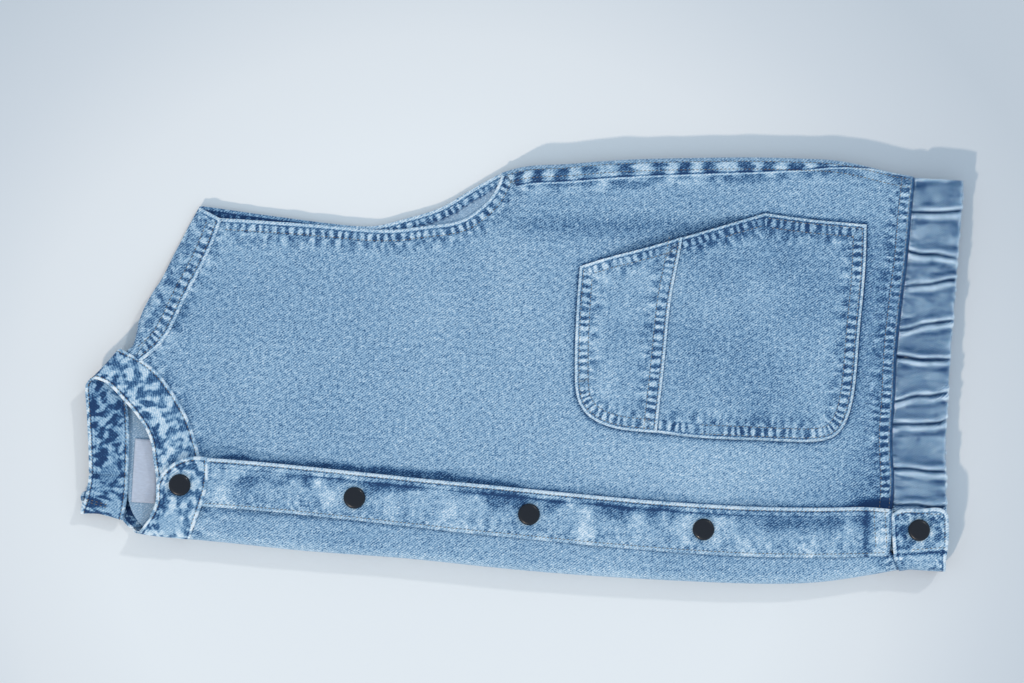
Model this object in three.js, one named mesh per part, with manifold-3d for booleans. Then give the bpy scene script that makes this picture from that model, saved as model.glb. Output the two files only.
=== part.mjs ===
// Sleeveless denim work smock: stand collar, snap front, patch pocket, elastic waistband.
// It lies snapped shut and folded in half lengthwise, just beyond the snap placket.
// Millimetres. X runs from collar to hem, Y from the fold to the side seam, Z up.
// The origin is the middle of the resting face. The left half lies on top, front up.
import * as THREE from 'three';
import { mergeVertices } from 'three/addons/utils/BufferGeometryUtils.js';
import Module from 'manifold-3d';

const wasm = await Module();
wasm.setup();

// Overall size as folded
const overallLength = 636; // collar edge to the end of the waist tab
const overallWidth = 312; // fold to side seam

// Cloth and the air it traps
const cloth = 1.2; // denim, as it lies
const seamGap = 0.3; // between neighbouring pieces
const bodyEase = 4.8; // air between the front and the back of one half
const halfGap = 1.0; // between the two halves
const pocketEase = 4.6; // hand room under the pocket cloth

// Cut of the garment
const neckFromFold = 136; // neck point of the shoulder seam
const neckFromCollar = 38;
const shoulderSeamRun = 51; // along X, neck point to shoulder tip
const shoulderWrap = 14; // the back wraps this far over the shoulder
const armholeFromSide = 69;
const underarmFromCollar = 296;
const underarmFromSide = 31;
const sideSeamFromSide = 8; // the side seam rolls this far on to the front
const frontNeckDepth = 49; // the front neckline falls below the neck point
const collarHeight = 30;
const bandDepth = 40; // waistband, along X
const tabOverhang = 7; // the waist tab runs past the band
const foldOffset = 42; // the fold lies this far beyond the line of snaps

// Placket
const placketWidth = 35;
const placketCloth = 1.6; // two pressed layers
const tabCloth = 2.4; // collar tab and waist tab, with their seam allowances
const placketBow = 9; // the placket lies in this shallow bow
const stripDrop = 0.5; // the strip beside the placket lies this much lower
const foldRoll = 6; // width of the rolled edge at the fold

// Snap fasteners
const snapCount = 5;
const snapPitch = 127; // the last snap sits on the waist tab instead
const capDiameter = 16;
const capHeight = 2.7;
const snapDiameter = 10; // socket, stud and post under the cap
const stemRadius = 1.5;
const studHeadRadius = 2.2;
const studHeight = 1.9;
const studFlange = 0.6;
const socketHeight = 1.8;
const postHeight = 0.6;

// Waistband casing and elastic
const casingHeight = 3.8;
const casingWall = 1.0;
const elasticWidth = 30;
const elasticHeight = 1.2;
const casingDrop = 1.8; // a casing reaches this far below the cloth it gathers

// Patch pocket
const pocketLength = 206; // along X
const pocketFromSeam = 28; // waist seam to pocket
const pocketDepth = 162; // from the top corner down, along Y
const mouthRun = 132; // the slanted mouth, along X
const mouthFromCrease = 6;
const pocketCorner = 30;
const pocketSplit = 68; // seam of the two pocket pieces, from the collar side

// Neck label
const labelLength = 46;
const labelWidth = 17;
const labelThickness = 0.6;

const fromCollar = (distance) => -overallLength / 2 + distance;
const fromHem = (distance) => overallLength / 2 - distance;
const fromFold = (distance) => -overallWidth / 2 + distance;
const fromSide = (distance) => overallWidth / 2 - distance;

// Heights of the four body layers, from the floor up
const rightFrontZ = 0;
const rightBackZ = rightFrontZ + cloth + bodyEase;
const leftBackZ = rightBackZ + cloth + halfGap;
const leftFrontZ = leftBackZ + cloth + bodyEase + 0.2;
const frontTopZ = leftFrontZ + cloth;

// Heights of a closed snap, from the under placket up
const studZ = frontTopZ + seamGap;
const socketZ = studZ + studFlange + seamGap;
const placketZ = socketZ + socketHeight + seamGap;
const tabTopZ = placketZ + tabCloth;
const stripZ = placketZ - cloth - stripDrop;
const underPlacketZ = frontTopZ - placketCloth;

// Lines that several pieces share
const neckX = fromCollar(neckFromCollar);
const neckY = fromFold(neckFromFold);
const shoulderTipX = neckX + shoulderSeamRun;
const shoulderTipY = fromSide(armholeFromSide);
const underarmX = fromCollar(underarmFromCollar);
const underarmY = fromSide(underarmFromSide);
const waistX = fromHem(tabOverhang + bandDepth + 1);
const bandEndX = waistX + bandDepth;
const sideY = fromSide(sideSeamFromSide);
const neckEndX = neckX + frontNeckDepth;
const foldY = fromFold(foldRoll);
const snapLineY = fromFold(foldRoll + foldOffset);
const snapFirstX = neckEndX - 13;
const snapLastX = waistX + bandDepth / 2 + 3;
const mirrorShift = -2 * foldOffset; // the right half lies this far from the left one
const labelX = neckX + 9;

const denim = { color: 0x7f9fc4, roughness: 0.92 };
const denimDark = { color: 0x55769f, roughness: 0.92 };
const denimInside = { color: 0x9db4cd, roughness: 0.95 };
const capBlack = { color: 0x15161a, roughness: 0.35, metalness: 0.4 };
const snapMetal = { color: 0xb9b2a2, roughness: 0.35, metalness: 0.9 };
const elasticWhite = { color: 0xe6e4dd, roughness: 0.8 };
const labelWhite = { color: 0xdfe4ec, roughness: 0.7 };

const smock = new THREE.Group();

function addPart(name, geometry, look) {
  const mesh = new THREE.Mesh(geometry, new THREE.MeshStandardMaterial(look));
  mesh.name = name;
  smock.add(mesh);
  return mesh;
}

// Closed mesh to a solid for cutting and joining, and back again
function solidOf(geometry) {
  const plain = geometry.clone();
  plain.deleteAttribute('normal');
  plain.deleteAttribute('uv');
  const merged = mergeVertices(plain, 1e-4);
  return new wasm.Manifold(new wasm.Mesh({
    numProp: 3,
    vertProperties: new Float32Array(merged.attributes.position.array),
    triVerts: new Uint32Array(merged.index.array),
  }));
}

function geometryOf(solid) {
  const mesh = solid.getMesh();
  const geometry = new THREE.BufferGeometry();
  geometry.setAttribute('position', new THREE.BufferAttribute(mesh.vertProperties, 3));
  geometry.setIndex(new THREE.BufferAttribute(mesh.triVerts, 1));
  geometry.computeVertexNormals();
  return geometry;
}

// A flat piece of cloth: an outline in X and Y, given a height and a thickness
function sheet(outline, bottom, thickness) {
  const geometry = new THREE.ExtrudeGeometry(outline, {
    depth: thickness, bevelEnabled: false, curveSegments: 6,
  });
  return solidOf(geometry.translate(0, 0, bottom));
}

function block(x0, x1, y0, y1, z0, z1) {
  const geometry = new THREE.BoxGeometry(x1 - x0, y1 - y0, z1 - z0);
  return solidOf(geometry.translate((x0 + x1) / 2, (y0 + y1) / 2, (z0 + z1) / 2));
}

function shapeOf(points) {
  return new THREE.Shape(points.map(([x, y]) => new THREE.Vector2(x, y)));
}

// Everything on the side-seam side of the fold edge of the right half
const aboveFold = block(-overallLength, overallLength, foldY, overallWidth, -50, 50);

// A right-half piece is the left-half outline moved across the fold and cut there
function rightHalf(solid) {
  return solid.translate(0, mirrorShift, 0).intersect(aboveFold);
}

// The left front opens along a crease from the neck point to the waist at the side seam
const creaseStart = new THREE.Vector2(neckX, neckY);
const creaseEnd = new THREE.Vector2(waistX, fromSide(6));
const creaseAngle = Math.atan2(creaseEnd.y - creaseStart.y, creaseEnd.x - creaseStart.x);
const creaseY = (x) => creaseStart.y + (x - creaseStart.x) * Math.tan(creaseAngle);

function creaseHalf(side) {
  const reach = 2 * overallLength;
  const geometry = new THREE.BoxGeometry(reach, reach, 100);
  geometry.translate(0, side * (reach / 2 + seamGap), 0).rotateZ(creaseAngle);
  return solidOf(geometry.translate(creaseStart.x, creaseStart.y, 0));
}

const besideCrease = creaseHalf(1);
const openingSide = creaseHalf(-1);

// The placket's line: a shallow bow that peaks nearer the hem
function placketLine(x, offset) {
  const run = THREE.MathUtils.clamp((x - snapFirstX) / (snapLastX - snapFirstX), 0, 1);
  return snapLineY + offset - placketBow * Math.sin(Math.PI * run * run);
}

// Outline between two offsets from the placket's line, from one X to another
function placketOutline(x0, x1, lower, upper, steps) {
  const points = [];
  for (let i = 0; i <= steps; i += 1) {
    const x = x0 + ((x1 - x0) * i) / steps;
    points.push([x, lower(x)]);
  }
  for (let i = steps; i >= 0; i -= 1) {
    const x = x0 + ((x1 - x0) * i) / steps;
    points.push([x, upper(x)]);
  }
  return shapeOf(points);
}

const placketFreeEdge = (x) => placketLine(x, placketWidth / 2);
const placketSewnEdge = (x) => placketLine(x, -placketWidth / 2);
const underFreeEdge = (x) => placketLine(x, placketWidth / 2 - 3);
const underSewnEdge = (x) => placketLine(x, -placketWidth / 2 + 3);

// Front panel, with its neckline, shoulder, armhole, side and front edge
function frontOutline() {
  const outline = new THREE.Shape();
  outline.moveTo(neckX, neckY);
  outline.quadraticCurveTo(neckEndX - 5, neckY - 22, neckEndX, snapLineY + placketWidth / 2);
  outline.lineTo(neckEndX, underFreeEdge(neckEndX) + seamGap);
  const steps = 10;
  for (let i = 1; i <= steps; i += 1) {
    const x = neckEndX + ((waistX - neckEndX) * i) / steps;
    outline.lineTo(x, underFreeEdge(x) + seamGap);
  }
  outline.lineTo(waistX, sideY);
  outline.quadraticCurveTo((underarmX + waistX) / 2, sideY - 6, underarmX, underarmY);
  outline.bezierCurveTo(underarmX - 13, underarmY - 25, underarmX - 38, shoulderTipY + 1.5,
    underarmX - 74, shoulderTipY);
  outline.lineTo(shoulderTipX, shoulderTipY);
  outline.quadraticCurveTo(shoulderTipX - 16, (neckY + shoulderTipY) / 2 + 4, neckX, neckY);
  return outline;
}

// Back panel, up to the shoulder fold, with the straight back neckline
function backOutline() {
  const outline = new THREE.Shape();
  outline.moveTo(neckX - 4, neckY + 4);
  outline.lineTo(neckX - 4, foldY);
  outline.lineTo(waistX, foldY);
  outline.lineTo(waistX, sideY + 3);
  outline.quadraticCurveTo((underarmX + waistX) / 2, sideY, underarmX, underarmY + 6);
  outline.bezierCurveTo(underarmX - 20, underarmY - 12, underarmX - 38, shoulderTipY + 8,
    underarmX - 84, shoulderTipY);
  outline.lineTo(shoulderTipX - shoulderWrap, shoulderTipY + 5);
  return outline;
}

// Cloth that turns over an edge: a strip on the front, and the wall down to the back
function edgeTurn(strip, wall, frontZ, backSideZ) {
  const top = sheet(strip, frontZ, cloth);
  const low = Math.min(frontZ, backSideZ);
  const high = Math.max(frontZ + cloth, backSideZ);
  return top.add(sheet(wall, low, high - low));
}

function shoulderStrip() {
  const middleY = (neckY + shoulderTipY) / 2;
  const strip = new THREE.Shape();
  strip.moveTo(neckX - seamGap, neckY + 2 * seamGap);
  strip.quadraticCurveTo(shoulderTipX - 16.5, middleY + 4, shoulderTipX - seamGap, shoulderTipY);
  strip.lineTo(shoulderTipX - shoulderWrap, shoulderTipY + 5);
  strip.lineTo(neckX - 10, neckY + 6);
  return strip;
}

function shoulderWall() {
  return shapeOf([
    [neckX - 10, neckY + 6], [neckX - 8.5, neckY + 6],
    [shoulderTipX - shoulderWrap + 1.5, shoulderTipY + 5],
    [shoulderTipX - shoulderWrap, shoulderTipY + 5],
  ]);
}

function sideOuterEdge(path, inset) {
  path.lineTo(underarmX - 2, underarmY + 9 - inset);
  path.quadraticCurveTo((underarmX + waistX) / 2 - 40, fromSide(4 + inset), waistX - 100,
    fromSide(inset));
  path.lineTo(waistX - 55, fromSide(inset));
  path.quadraticCurveTo(waistX - 20, fromSide(inset), waistX, fromSide(6 + inset));
}

function sideStrip() {
  const strip = new THREE.Shape();
  strip.moveTo(underarmX, underarmY + seamGap);
  sideOuterEdge(strip, 0);
  strip.lineTo(waistX, sideY + 2 * seamGap);
  strip.quadraticCurveTo((underarmX + waistX) / 2, sideY - 6 + 2 * seamGap, underarmX,
    underarmY + 2 * seamGap);
  return strip;
}

function sideWall() {
  const outer = new THREE.Shape();
  outer.moveTo(underarmX - 2, underarmY + 7.5);
  sideOuterEdge(outer, 0);
  const inner = new THREE.Shape();
  inner.moveTo(underarmX - 2, underarmY + 7.5);
  sideOuterEdge(inner, 1.5);
  const back = inner.getPoints(6).reverse();
  return new THREE.Shape([...outer.getPoints(6), ...back.slice(0, -1)]);
}

// Front collar, from the shoulder down to its end under the collar tab
function collarOutline() {
  const endY = underSewnEdge(neckEndX);
  const outline = new THREE.Shape();
  outline.moveTo(neckX - seamGap, neckY - 2 * seamGap);
  outline.lineTo(neckX - 14, neckY + 5);
  outline.lineTo(fromCollar(0), neckY - 16);
  outline.lineTo(fromCollar(14), neckY - 16);
  outline.bezierCurveTo(neckX - 5, neckY - 26, neckEndX - collarHeight - 3, neckY - 60,
    neckEndX - collarHeight, endY + 12);
  outline.lineTo(neckEndX - collarHeight, endY);
  outline.lineTo(neckEndX - seamGap, endY);
  outline.lineTo(neckEndX - seamGap, snapLineY + placketWidth / 2);
  outline.quadraticCurveTo(neckEndX - 5.6, neckY - 23, neckX - seamGap, neckY - 2 * seamGap);
  return outline;
}

function collarWall() {
  return shapeOf([
    [neckX - 14, neckY + 5], [fromCollar(0), neckY - 16],
    [fromCollar(1.5), neckY - 16], [neckX - 13, neckY + 4],
  ]);
}

function backCollarOutline() {
  const outline = new THREE.Shape();
  const seamX = neckX - 4 - seamGap;
  outline.moveTo(seamX, neckY + 1);
  outline.lineTo(neckX - 14, neckY + 5);
  outline.lineTo(fromCollar(0), neckY - 16);
  outline.quadraticCurveTo(fromCollar(10), snapLineY + 20, fromCollar(3), snapLineY - 22);
  outline.lineTo(fromCollar(6), foldY);
  outline.lineTo(seamX, foldY);
  return outline;
}

// Waistband casing: a flat tube along Y, open at both ends for the elastic
function casing(y0, y1, bottom) {
  const x0 = waistX + seamGap;
  const outline = shapeOf([
    [x0, 0], [bandEndX, 0], [bandEndX, casingHeight], [x0, casingHeight],
  ]);
  outline.holes.push(new THREE.Path([
    new THREE.Vector2(x0 + casingWall, casingWall),
    new THREE.Vector2(x0 + casingWall, casingHeight - casingWall),
    new THREE.Vector2(bandEndX - casingWall, casingHeight - casingWall),
    new THREE.Vector2(bandEndX - casingWall, casingWall),
  ]));
  const geometry = new THREE.ExtrudeGeometry(outline, { depth: y1 - y0, bevelEnabled: false });
  return geometry.rotateX(Math.PI / 2).translate(0, y1, bottom);
}

function elastic(y0, y1, bottom) {
  const middle = (waistX + seamGap + bandEndX) / 2;
  const z = bottom + casingHeight / 2;
  return new THREE.BoxGeometry(elasticWidth, y1 - y0, elasticHeight)
    .translate(middle, (y0 + y1) / 2, z);
}

function addWaistband(name, y0, y1, bottom) {
  addPart(`${name}_waistband`, casing(y0, y1, bottom), denim);
  addPart(`${name}_elastic`, elastic(y0 + 2, y1 - 2, bottom), elasticWhite);
}

// Cloth rolled round the fold: a half ring drawn in Y and Z, run along X
function foldTurn(x0, x1, reach, lowZ, highZ) {
  const outer = (highZ - lowZ) / 2;
  const steps = 8;
  const arc = (across, upright) => Array.from({ length: steps + 1 }, (_, i) => {
    const turn = Math.PI / 2 + (Math.PI * i) / steps;
    return [across * Math.cos(turn), upright * Math.sin(turn)];
  });
  const profile = shapeOf([...arc(reach, outer), ...arc(reach - cloth, outer - cloth).reverse()]);
  const geometry = new THREE.ExtrudeGeometry(profile, { depth: x1 - x0, bevelEnabled: false });
  geometry.rotateX(Math.PI / 2).rotateZ(Math.PI / 2);
  return geometry.translate(x0, foldY - seamGap, (lowZ + highZ) / 2);
}

// Lathe profile round Z, standing at a point
function turned(profile, x, y, z) {
  const points = profile.map(([radius, height]) => new THREE.Vector2(radius, height));
  return new THREE.LatheGeometry(points, 20).rotateX(Math.PI / 2).translate(x, y, z);
}

function snapAt(index) {
  const x = index === snapCount - 1 ? snapLastX : snapFirstX + snapPitch * index;
  return { x, y: placketLine(x, 0) };
}

function snapHole(index, z0, z1) {
  const { x, y } = snapAt(index);
  const radius = stemRadius + seamGap;
  const profile = [[0, 0], [radius, 0], [radius, z1 - z0], [0, z1 - z0]];
  return solidOf(turned(profile, x, y, z0));
}

function withHoles(solid, indexes) {
  return indexes.reduce((left, index) => left.subtract(snapHole(index, 0, 40)), solid);
}

function addCap(index, clothTop) {
  const { x, y } = snapAt(index);
  const radius = capDiameter / 2;
  const foot = clothTop + seamGap;
  const stem = foot - placketZ;
  addPart(`snap_cap_${index + 1}`, turned([
    [0, -stem], [stemRadius, -stem], [stemRadius, 0], [radius - 0.6, 0], [radius, 0.7],
    [radius - 0.9, 1.7], [radius * 0.55, capHeight - 0.3], [0, capHeight],
  ], x, y, foot), capBlack);
}

function addSocket(index) {
  const { x, y } = snapAt(index);
  const bore = studHeadRadius + 2 * seamGap;
  const ceiling = studHeight - studFlange;
  addPart(`snap_socket_${index + 1}`, turned([
    [0, ceiling], [bore, ceiling], [bore, 0], [snapDiameter / 2, 0],
    [snapDiameter / 2, socketHeight], [0, socketHeight],
  ], x, y, socketZ), snapMetal);
}

function addStud(index) {
  const { x, y } = snapAt(index);
  const stem = studZ - underPlacketZ + seamGap + postHeight;
  addPart(`snap_stud_${index + 1}`, turned([
    [0, -stem], [stemRadius, -stem], [stemRadius, 0], [snapDiameter / 2, 0],
    [snapDiameter / 2, studFlange], [studHeadRadius - 0.4, studFlange],
    [studHeadRadius, studHeight - 0.6], [studHeadRadius - 0.4, studHeight], [0, studHeight],
  ], x, y, studZ), snapMetal);
}

function addPost(index) {
  const { x, y } = snapAt(index);
  const bore = stemRadius + seamGap;
  addPart(`snap_post_${index + 1}`, turned([
    [bore, 0], [snapDiameter / 2, 0], [snapDiameter / 2, postHeight], [bore, postHeight],
    [bore, 0],
  ], x, y, underPlacketZ - seamGap - postHeight), snapMetal);
}

// Pocket: cloth held up from the panel, with walls on its sewn edges and a slanted mouth
function pocketOutline(inset, mouthReach) {
  const x1 = waistX - pocketFromSeam - inset;
  const x0 = waistX - pocketFromSeam - pocketLength + inset;
  const mouthEndX = waistX - pocketFromSeam - pocketLength + mouthRun;
  const bottomY = creaseY(mouthEndX) - mouthFromCrease - pocketDepth + inset;
  const topY = creaseY(mouthEndX) - mouthFromCrease;
  const corner = pocketCorner - inset;
  const outline = new THREE.Shape();
  outline.moveTo(x0, creaseY(x0) - mouthFromCrease + mouthReach);
  outline.lineTo(x0, bottomY + corner);
  outline.quadraticCurveTo(x0, bottomY, x0 + corner, bottomY);
  outline.lineTo(x1 - corner, bottomY);
  outline.quadraticCurveTo(x1, bottomY, x1, bottomY + corner);
  outline.lineTo(x1, topY - 4 - inset);
  outline.lineTo(mouthEndX, topY - inset);
  outline.lineTo(mouthEndX, topY + mouthReach);
  return outline;
}

function pocketShell() {
  const low = frontTopZ + seamGap;
  const high = frontTopZ + pocketEase + seamGap;
  return sheet(pocketOutline(0, 0), low, high + cloth - low)
    .subtract(sheet(pocketOutline(1.5, 10), low - 1, high - low + 1));
}

function addRightHalf() {
  addPart('right_front_panel', geometryOf(rightHalf(sheet(frontOutline(), rightFrontZ, cloth))), denim);
  addPart('right_back_panel', geometryOf(rightHalf(sheet(backOutline(), rightBackZ, cloth))), denim);
  const wallTop = rightBackZ - seamGap;
  addPart('right_side_seam',
    geometryOf(rightHalf(edgeTurn(sideStrip(), sideWall(), rightFrontZ, wallTop))), denimDark);
  addPart('right_shoulder_strip',
    geometryOf(rightHalf(edgeTurn(shoulderStrip(), shoulderWall(), rightFrontZ, wallTop))), denim);
  addPart('right_collar',
    geometryOf(rightHalf(edgeTurn(collarOutline(), collarWall(), rightFrontZ, wallTop))), denimDark);
  addPart('right_back_collar',
    geometryOf(rightHalf(sheet(backCollarOutline(), rightBackZ, 2 * cloth - 0.6))), denimDark);
  const bandLow = foldY;
  const bandHigh = sideY + mirrorShift - 2;
  addWaistband('right_front', bandLow, bandHigh, rightFrontZ);
  addWaistband('right_back', bandLow, bandHigh, rightBackZ - casingDrop);
}

function addLeftBack() {
  addPart('left_back_panel', geometryOf(sheet(backOutline(), leftBackZ, cloth)), denimInside);
  const wallFoot = leftBackZ + cloth + seamGap;
  addPart('left_side_seam',
    geometryOf(edgeTurn(sideStrip(), sideWall(), leftFrontZ, wallFoot)), denimDark);
  addPart('left_shoulder_strip',
    geometryOf(edgeTurn(shoulderStrip(), shoulderWall(), leftFrontZ, wallFoot)), denim);
  addPart('left_front_side',
    geometryOf(sheet(frontOutline(), leftFrontZ, cloth).intersect(besideCrease)), denim);
  const collarCloth = 1.0;
  addPart('back_collar_outer', geometryOf(sheet(backCollarOutline(), leftBackZ, collarCloth)), denimDark);
  const innerZ = leftBackZ + collarCloth + seamGap;
  addPart('back_collar_inner', geometryOf(sheet(backCollarOutline(), innerZ, collarCloth)), denimDark);
  const turn = edgeTurn(collarOutline(), collarWall(), leftFrontZ, innerZ + collarCloth + seamGap);
  addPart('collar_turn', geometryOf(turn.intersect(besideCrease)), denimDark);
  addPart('neck_label', geometryOf(block(labelX - labelWidth / 2, labelX + labelWidth / 2,
    snapLineY + 8 - labelLength / 2, snapLineY + 8 + labelLength / 2,
    leftBackZ + cloth + seamGap, leftBackZ + cloth + seamGap + labelThickness)), labelWhite);
  addWaistband('left_back', foldY, sideY - 2, leftBackZ + 0.2);
}

// Cloth beside the placket: the last of the right front before it turns under at the fold
function addFoldStrips() {
  const top = (x) => placketSewnEdge(x) - seamGap;
  const bottom = () => foldY;
  const collarX = neckEndX - collarHeight - 4;
  const spans = [
    ['collar_strip', collarX, neckEndX - 8 - seamGap, 2],
    ['front_strip', neckEndX - 8, waistX, 12],
    ['waistband_strip', waistX + seamGap, bandEndX + 4, 2],
  ];
  for (const [name, x0, x1, steps] of spans) {
    addPart(name, geometryOf(sheet(placketOutline(x0, x1, bottom, top, steps), stripZ, cloth)), denim);
  }
  const rolls = [
    ['collar_fold_roll', collarX, neckEndX - 8 - seamGap],
    ['front_fold_roll', neckEndX - 8, waistX],
    ['waistband_fold_roll', waistX + seamGap, bandEndX + 4],
  ];
  const reach = foldRoll - seamGap;
  for (const [name, x0, x1] of rolls) {
    addPart(name, foldTurn(x0, x1, reach, 0.2, stripZ + cloth), denimDark);
  }
  const inside = reach - cloth - 3 * seamGap;
  addPart('back_fold_roll', foldTurn(neckX, waistX, inside, rightBackZ, leftBackZ + cloth),
    denimInside);
}

function addLeftFront() {
  addPart('left_front_panel',
    geometryOf(sheet(frontOutline(), leftFrontZ, cloth).intersect(openingSide)), denim);
  const under = placketOutline(neckEndX, waistX, underSewnEdge, underFreeEdge, 12);
  addPart('under_placket',
    geometryOf(withHoles(sheet(under, underPlacketZ, placketCloth), [1, 2, 3])), denimInside);
  const underTab = placketOutline(waistX + seamGap, bandEndX, underSewnEdge, underFreeEdge, 1);
  addPart('under_tab',
    geometryOf(withHoles(sheet(underTab, underPlacketZ, placketCloth), [4])), denimInside);
  const collarCloth = (placketCloth - seamGap) / 2;
  const outerZ = frontTopZ - collarCloth;
  for (const [name, z] of [['left_collar_outer', outerZ],
    ['left_collar_inner', outerZ - collarCloth - seamGap]]) {
    const layer = sheet(collarOutline(), z, collarCloth).intersect(openingSide);
    addPart(name, geometryOf(withHoles(layer, [0])), denimDark);
  }
  addWaistband('left_front', underFreeEdge(bandEndX) + seamGap, sideY - 2, leftFrontZ - casingDrop);
  const shell = pocketShell();
  const splitX = waistX - pocketFromSeam - pocketLength + pocketSplit;
  const before = block(-overallLength, splitX, -overallWidth, overallWidth, 0, 50);
  const after = block(splitX + seamGap, overallLength, -overallWidth, overallWidth, 0, 50);
  addPart('pocket_narrow_piece', geometryOf(shell.intersect(before)), denim);
  addPart('pocket_wide_piece', geometryOf(shell.intersect(after)), denim);
}

function addPlacket() {
  const outer = placketOutline(neckEndX + seamGap, waistX, placketSewnEdge, placketFreeEdge, 12);
  addPart('outer_placket',
    geometryOf(withHoles(sheet(outer, placketZ, placketCloth), [1, 2, 3])), denimDark);
  const tab = placketOutline(waistX + seamGap, fromHem(0), placketSewnEdge, placketFreeEdge, 1);
  addPart('waist_tab', geometryOf(withHoles(sheet(tab, placketZ, tabCloth), [4])), denimDark);
  const roundTab = new THREE.Shape();
  const collarEndX = neckEndX - collarHeight - 1;
  roundTab.moveTo(neckEndX, placketSewnEdge(neckEndX));
  roundTab.lineTo(neckEndX, placketFreeEdge(neckEndX));
  roundTab.lineTo(neckEndX - 6, placketFreeEdge(neckEndX));
  roundTab.quadraticCurveTo(collarEndX, placketFreeEdge(neckEndX), collarEndX, snapLineY - 3);
  roundTab.lineTo(collarEndX - 2, placketSewnEdge(neckEndX));
  addPart('collar_tab', geometryOf(withHoles(sheet(roundTab, placketZ, tabCloth), [0])), denimDark);
}

function addSnaps() {
  for (let index = 0; index < snapCount; index += 1) {
    const onTab = index === 0 || index === snapCount - 1;
    addCap(index, onTab ? tabTopZ : placketZ + placketCloth);
    addSocket(index);
    addStud(index);
    addPost(index);
  }
}

addRightHalf();
addLeftBack();
addFoldStrips();
addLeftFront();
addPlacket();
addSnaps();

export default smock;
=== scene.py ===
import math

import bmesh
import bpy
import numpy as np
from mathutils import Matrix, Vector, geometry


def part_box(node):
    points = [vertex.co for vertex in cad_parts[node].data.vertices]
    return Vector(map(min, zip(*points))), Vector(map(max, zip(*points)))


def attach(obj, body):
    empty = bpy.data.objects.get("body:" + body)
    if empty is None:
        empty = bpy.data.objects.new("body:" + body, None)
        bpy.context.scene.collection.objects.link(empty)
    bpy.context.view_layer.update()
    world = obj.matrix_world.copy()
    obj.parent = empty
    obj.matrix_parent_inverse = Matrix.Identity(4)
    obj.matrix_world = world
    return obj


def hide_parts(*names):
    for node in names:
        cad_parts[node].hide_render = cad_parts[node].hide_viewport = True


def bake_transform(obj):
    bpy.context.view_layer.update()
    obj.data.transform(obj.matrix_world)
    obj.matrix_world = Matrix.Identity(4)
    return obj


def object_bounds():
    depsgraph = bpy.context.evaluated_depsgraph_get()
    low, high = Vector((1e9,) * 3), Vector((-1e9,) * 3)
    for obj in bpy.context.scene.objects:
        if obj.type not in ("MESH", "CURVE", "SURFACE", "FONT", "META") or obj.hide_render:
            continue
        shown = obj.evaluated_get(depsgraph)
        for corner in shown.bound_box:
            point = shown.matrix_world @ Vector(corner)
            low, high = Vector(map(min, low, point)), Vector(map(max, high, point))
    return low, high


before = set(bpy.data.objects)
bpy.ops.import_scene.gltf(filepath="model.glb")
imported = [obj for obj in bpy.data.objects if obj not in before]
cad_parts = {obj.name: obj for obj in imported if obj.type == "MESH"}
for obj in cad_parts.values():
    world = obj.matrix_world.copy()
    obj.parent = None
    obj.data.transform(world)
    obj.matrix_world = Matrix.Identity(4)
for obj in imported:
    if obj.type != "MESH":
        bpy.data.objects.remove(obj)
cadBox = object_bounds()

print("smock: frame loaded")

# All shapes are worked out in millimetres and turned to metres when a mesh is made.
# A place on the smock is (from the collar end, from the fold), as it lies.
low = np.array(cadBox[0]) * 1000


def nodeBox(node):
    return [np.array(corner) * 1000 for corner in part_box(node)]


heights = {key: nodeBox(node)[1][2] for key, node in (  # the top of each layer
    ("front", "left_front_panel"), ("leftBack", "left_back_panel"), ("rightBack", "right_back_panel"),
    ("strip", "front_strip"), ("placket", "outer_placket"))}
clothThickness = 1.2


def spline(points, step=2.0):  # a natural cubic curve through the points, as evenly spaced points
    knots = np.asarray(points, float)
    apart = np.linalg.norm(np.diff(knots, axis=0), axis=1) > 1e-4
    knots = knots[np.concatenate([[True], apart])]
    chord = np.linalg.norm(np.diff(knots, axis=0), axis=1)
    at = np.concatenate([[0], np.cumsum(chord)])
    count = len(knots)
    if count == 2:
        fine = knots[0] + np.linspace(0, 1, 50)[:, None] * (knots[1] - knots[0])
        return evenly(fine, step)
    system = np.eye(count)
    right = np.zeros((count, knots.shape[1]))
    for i in range(1, count - 1):
        before, after = chord[i - 1], chord[i]
        system[i, i - 1:i + 2] = before, 2 * (before + after), after
        right[i] = 6 * ((knots[i + 1] - knots[i]) / after - (knots[i] - knots[i - 1]) / before)
    bend = np.linalg.solve(system, right)
    fine = []
    for i in range(count - 1):
        span = chord[i]
        t = np.linspace(0, span, 24, endpoint=(i == count - 2))[:, None]
        fine.append(
            bend[i] * (span - t) ** 3 / (6 * span) + bend[i + 1] * t ** 3 / (6 * span)
            + (knots[i] / span - bend[i] * span / 6) * (span - t)
            + (knots[i + 1] / span - bend[i + 1] * span / 6) * t)
    return evenly(np.concatenate(fine), step)


def lengths(line):  # the distance along a line at each of its points
    return np.concatenate([[0], np.cumsum(np.linalg.norm(np.diff(line, axis=0), axis=1))])


def evenly(line, step):
    along = lengths(line)
    count = max(2, int(round(along[-1] / step)) + 1)
    wanted = np.linspace(0, along[-1], count)
    return np.stack([np.interp(wanted, along, line[:, k]) for k in range(line.shape[1])], axis=1)


def smooth(start, end, value):
    t = np.clip((value - start) / (end - start), 0, 1)
    return t * t * (3 - 2 * t)


def lattice(k, seed):  # a fixed number between 0 and 1 for each whole k
    return (np.sin(k * 127.1 + seed * 311.7) * 43758.5453) % 1.0


def noise1(x, seed=0):
    cell = np.floor(x)
    part = x - cell
    part = part * part * (3 - 2 * part)
    return (lattice(cell, seed) * (1 - part) + lattice(cell + 1, seed) * part) * 2 - 1


def noise2(x, y, seed=0):
    row = np.floor(y)
    part = y - row
    part = part * part * (3 - 2 * part)
    return noise1(x + row * 17.31, seed) * (1 - part) + noise1(x + (row + 1) * 17.31, seed) * part


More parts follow.
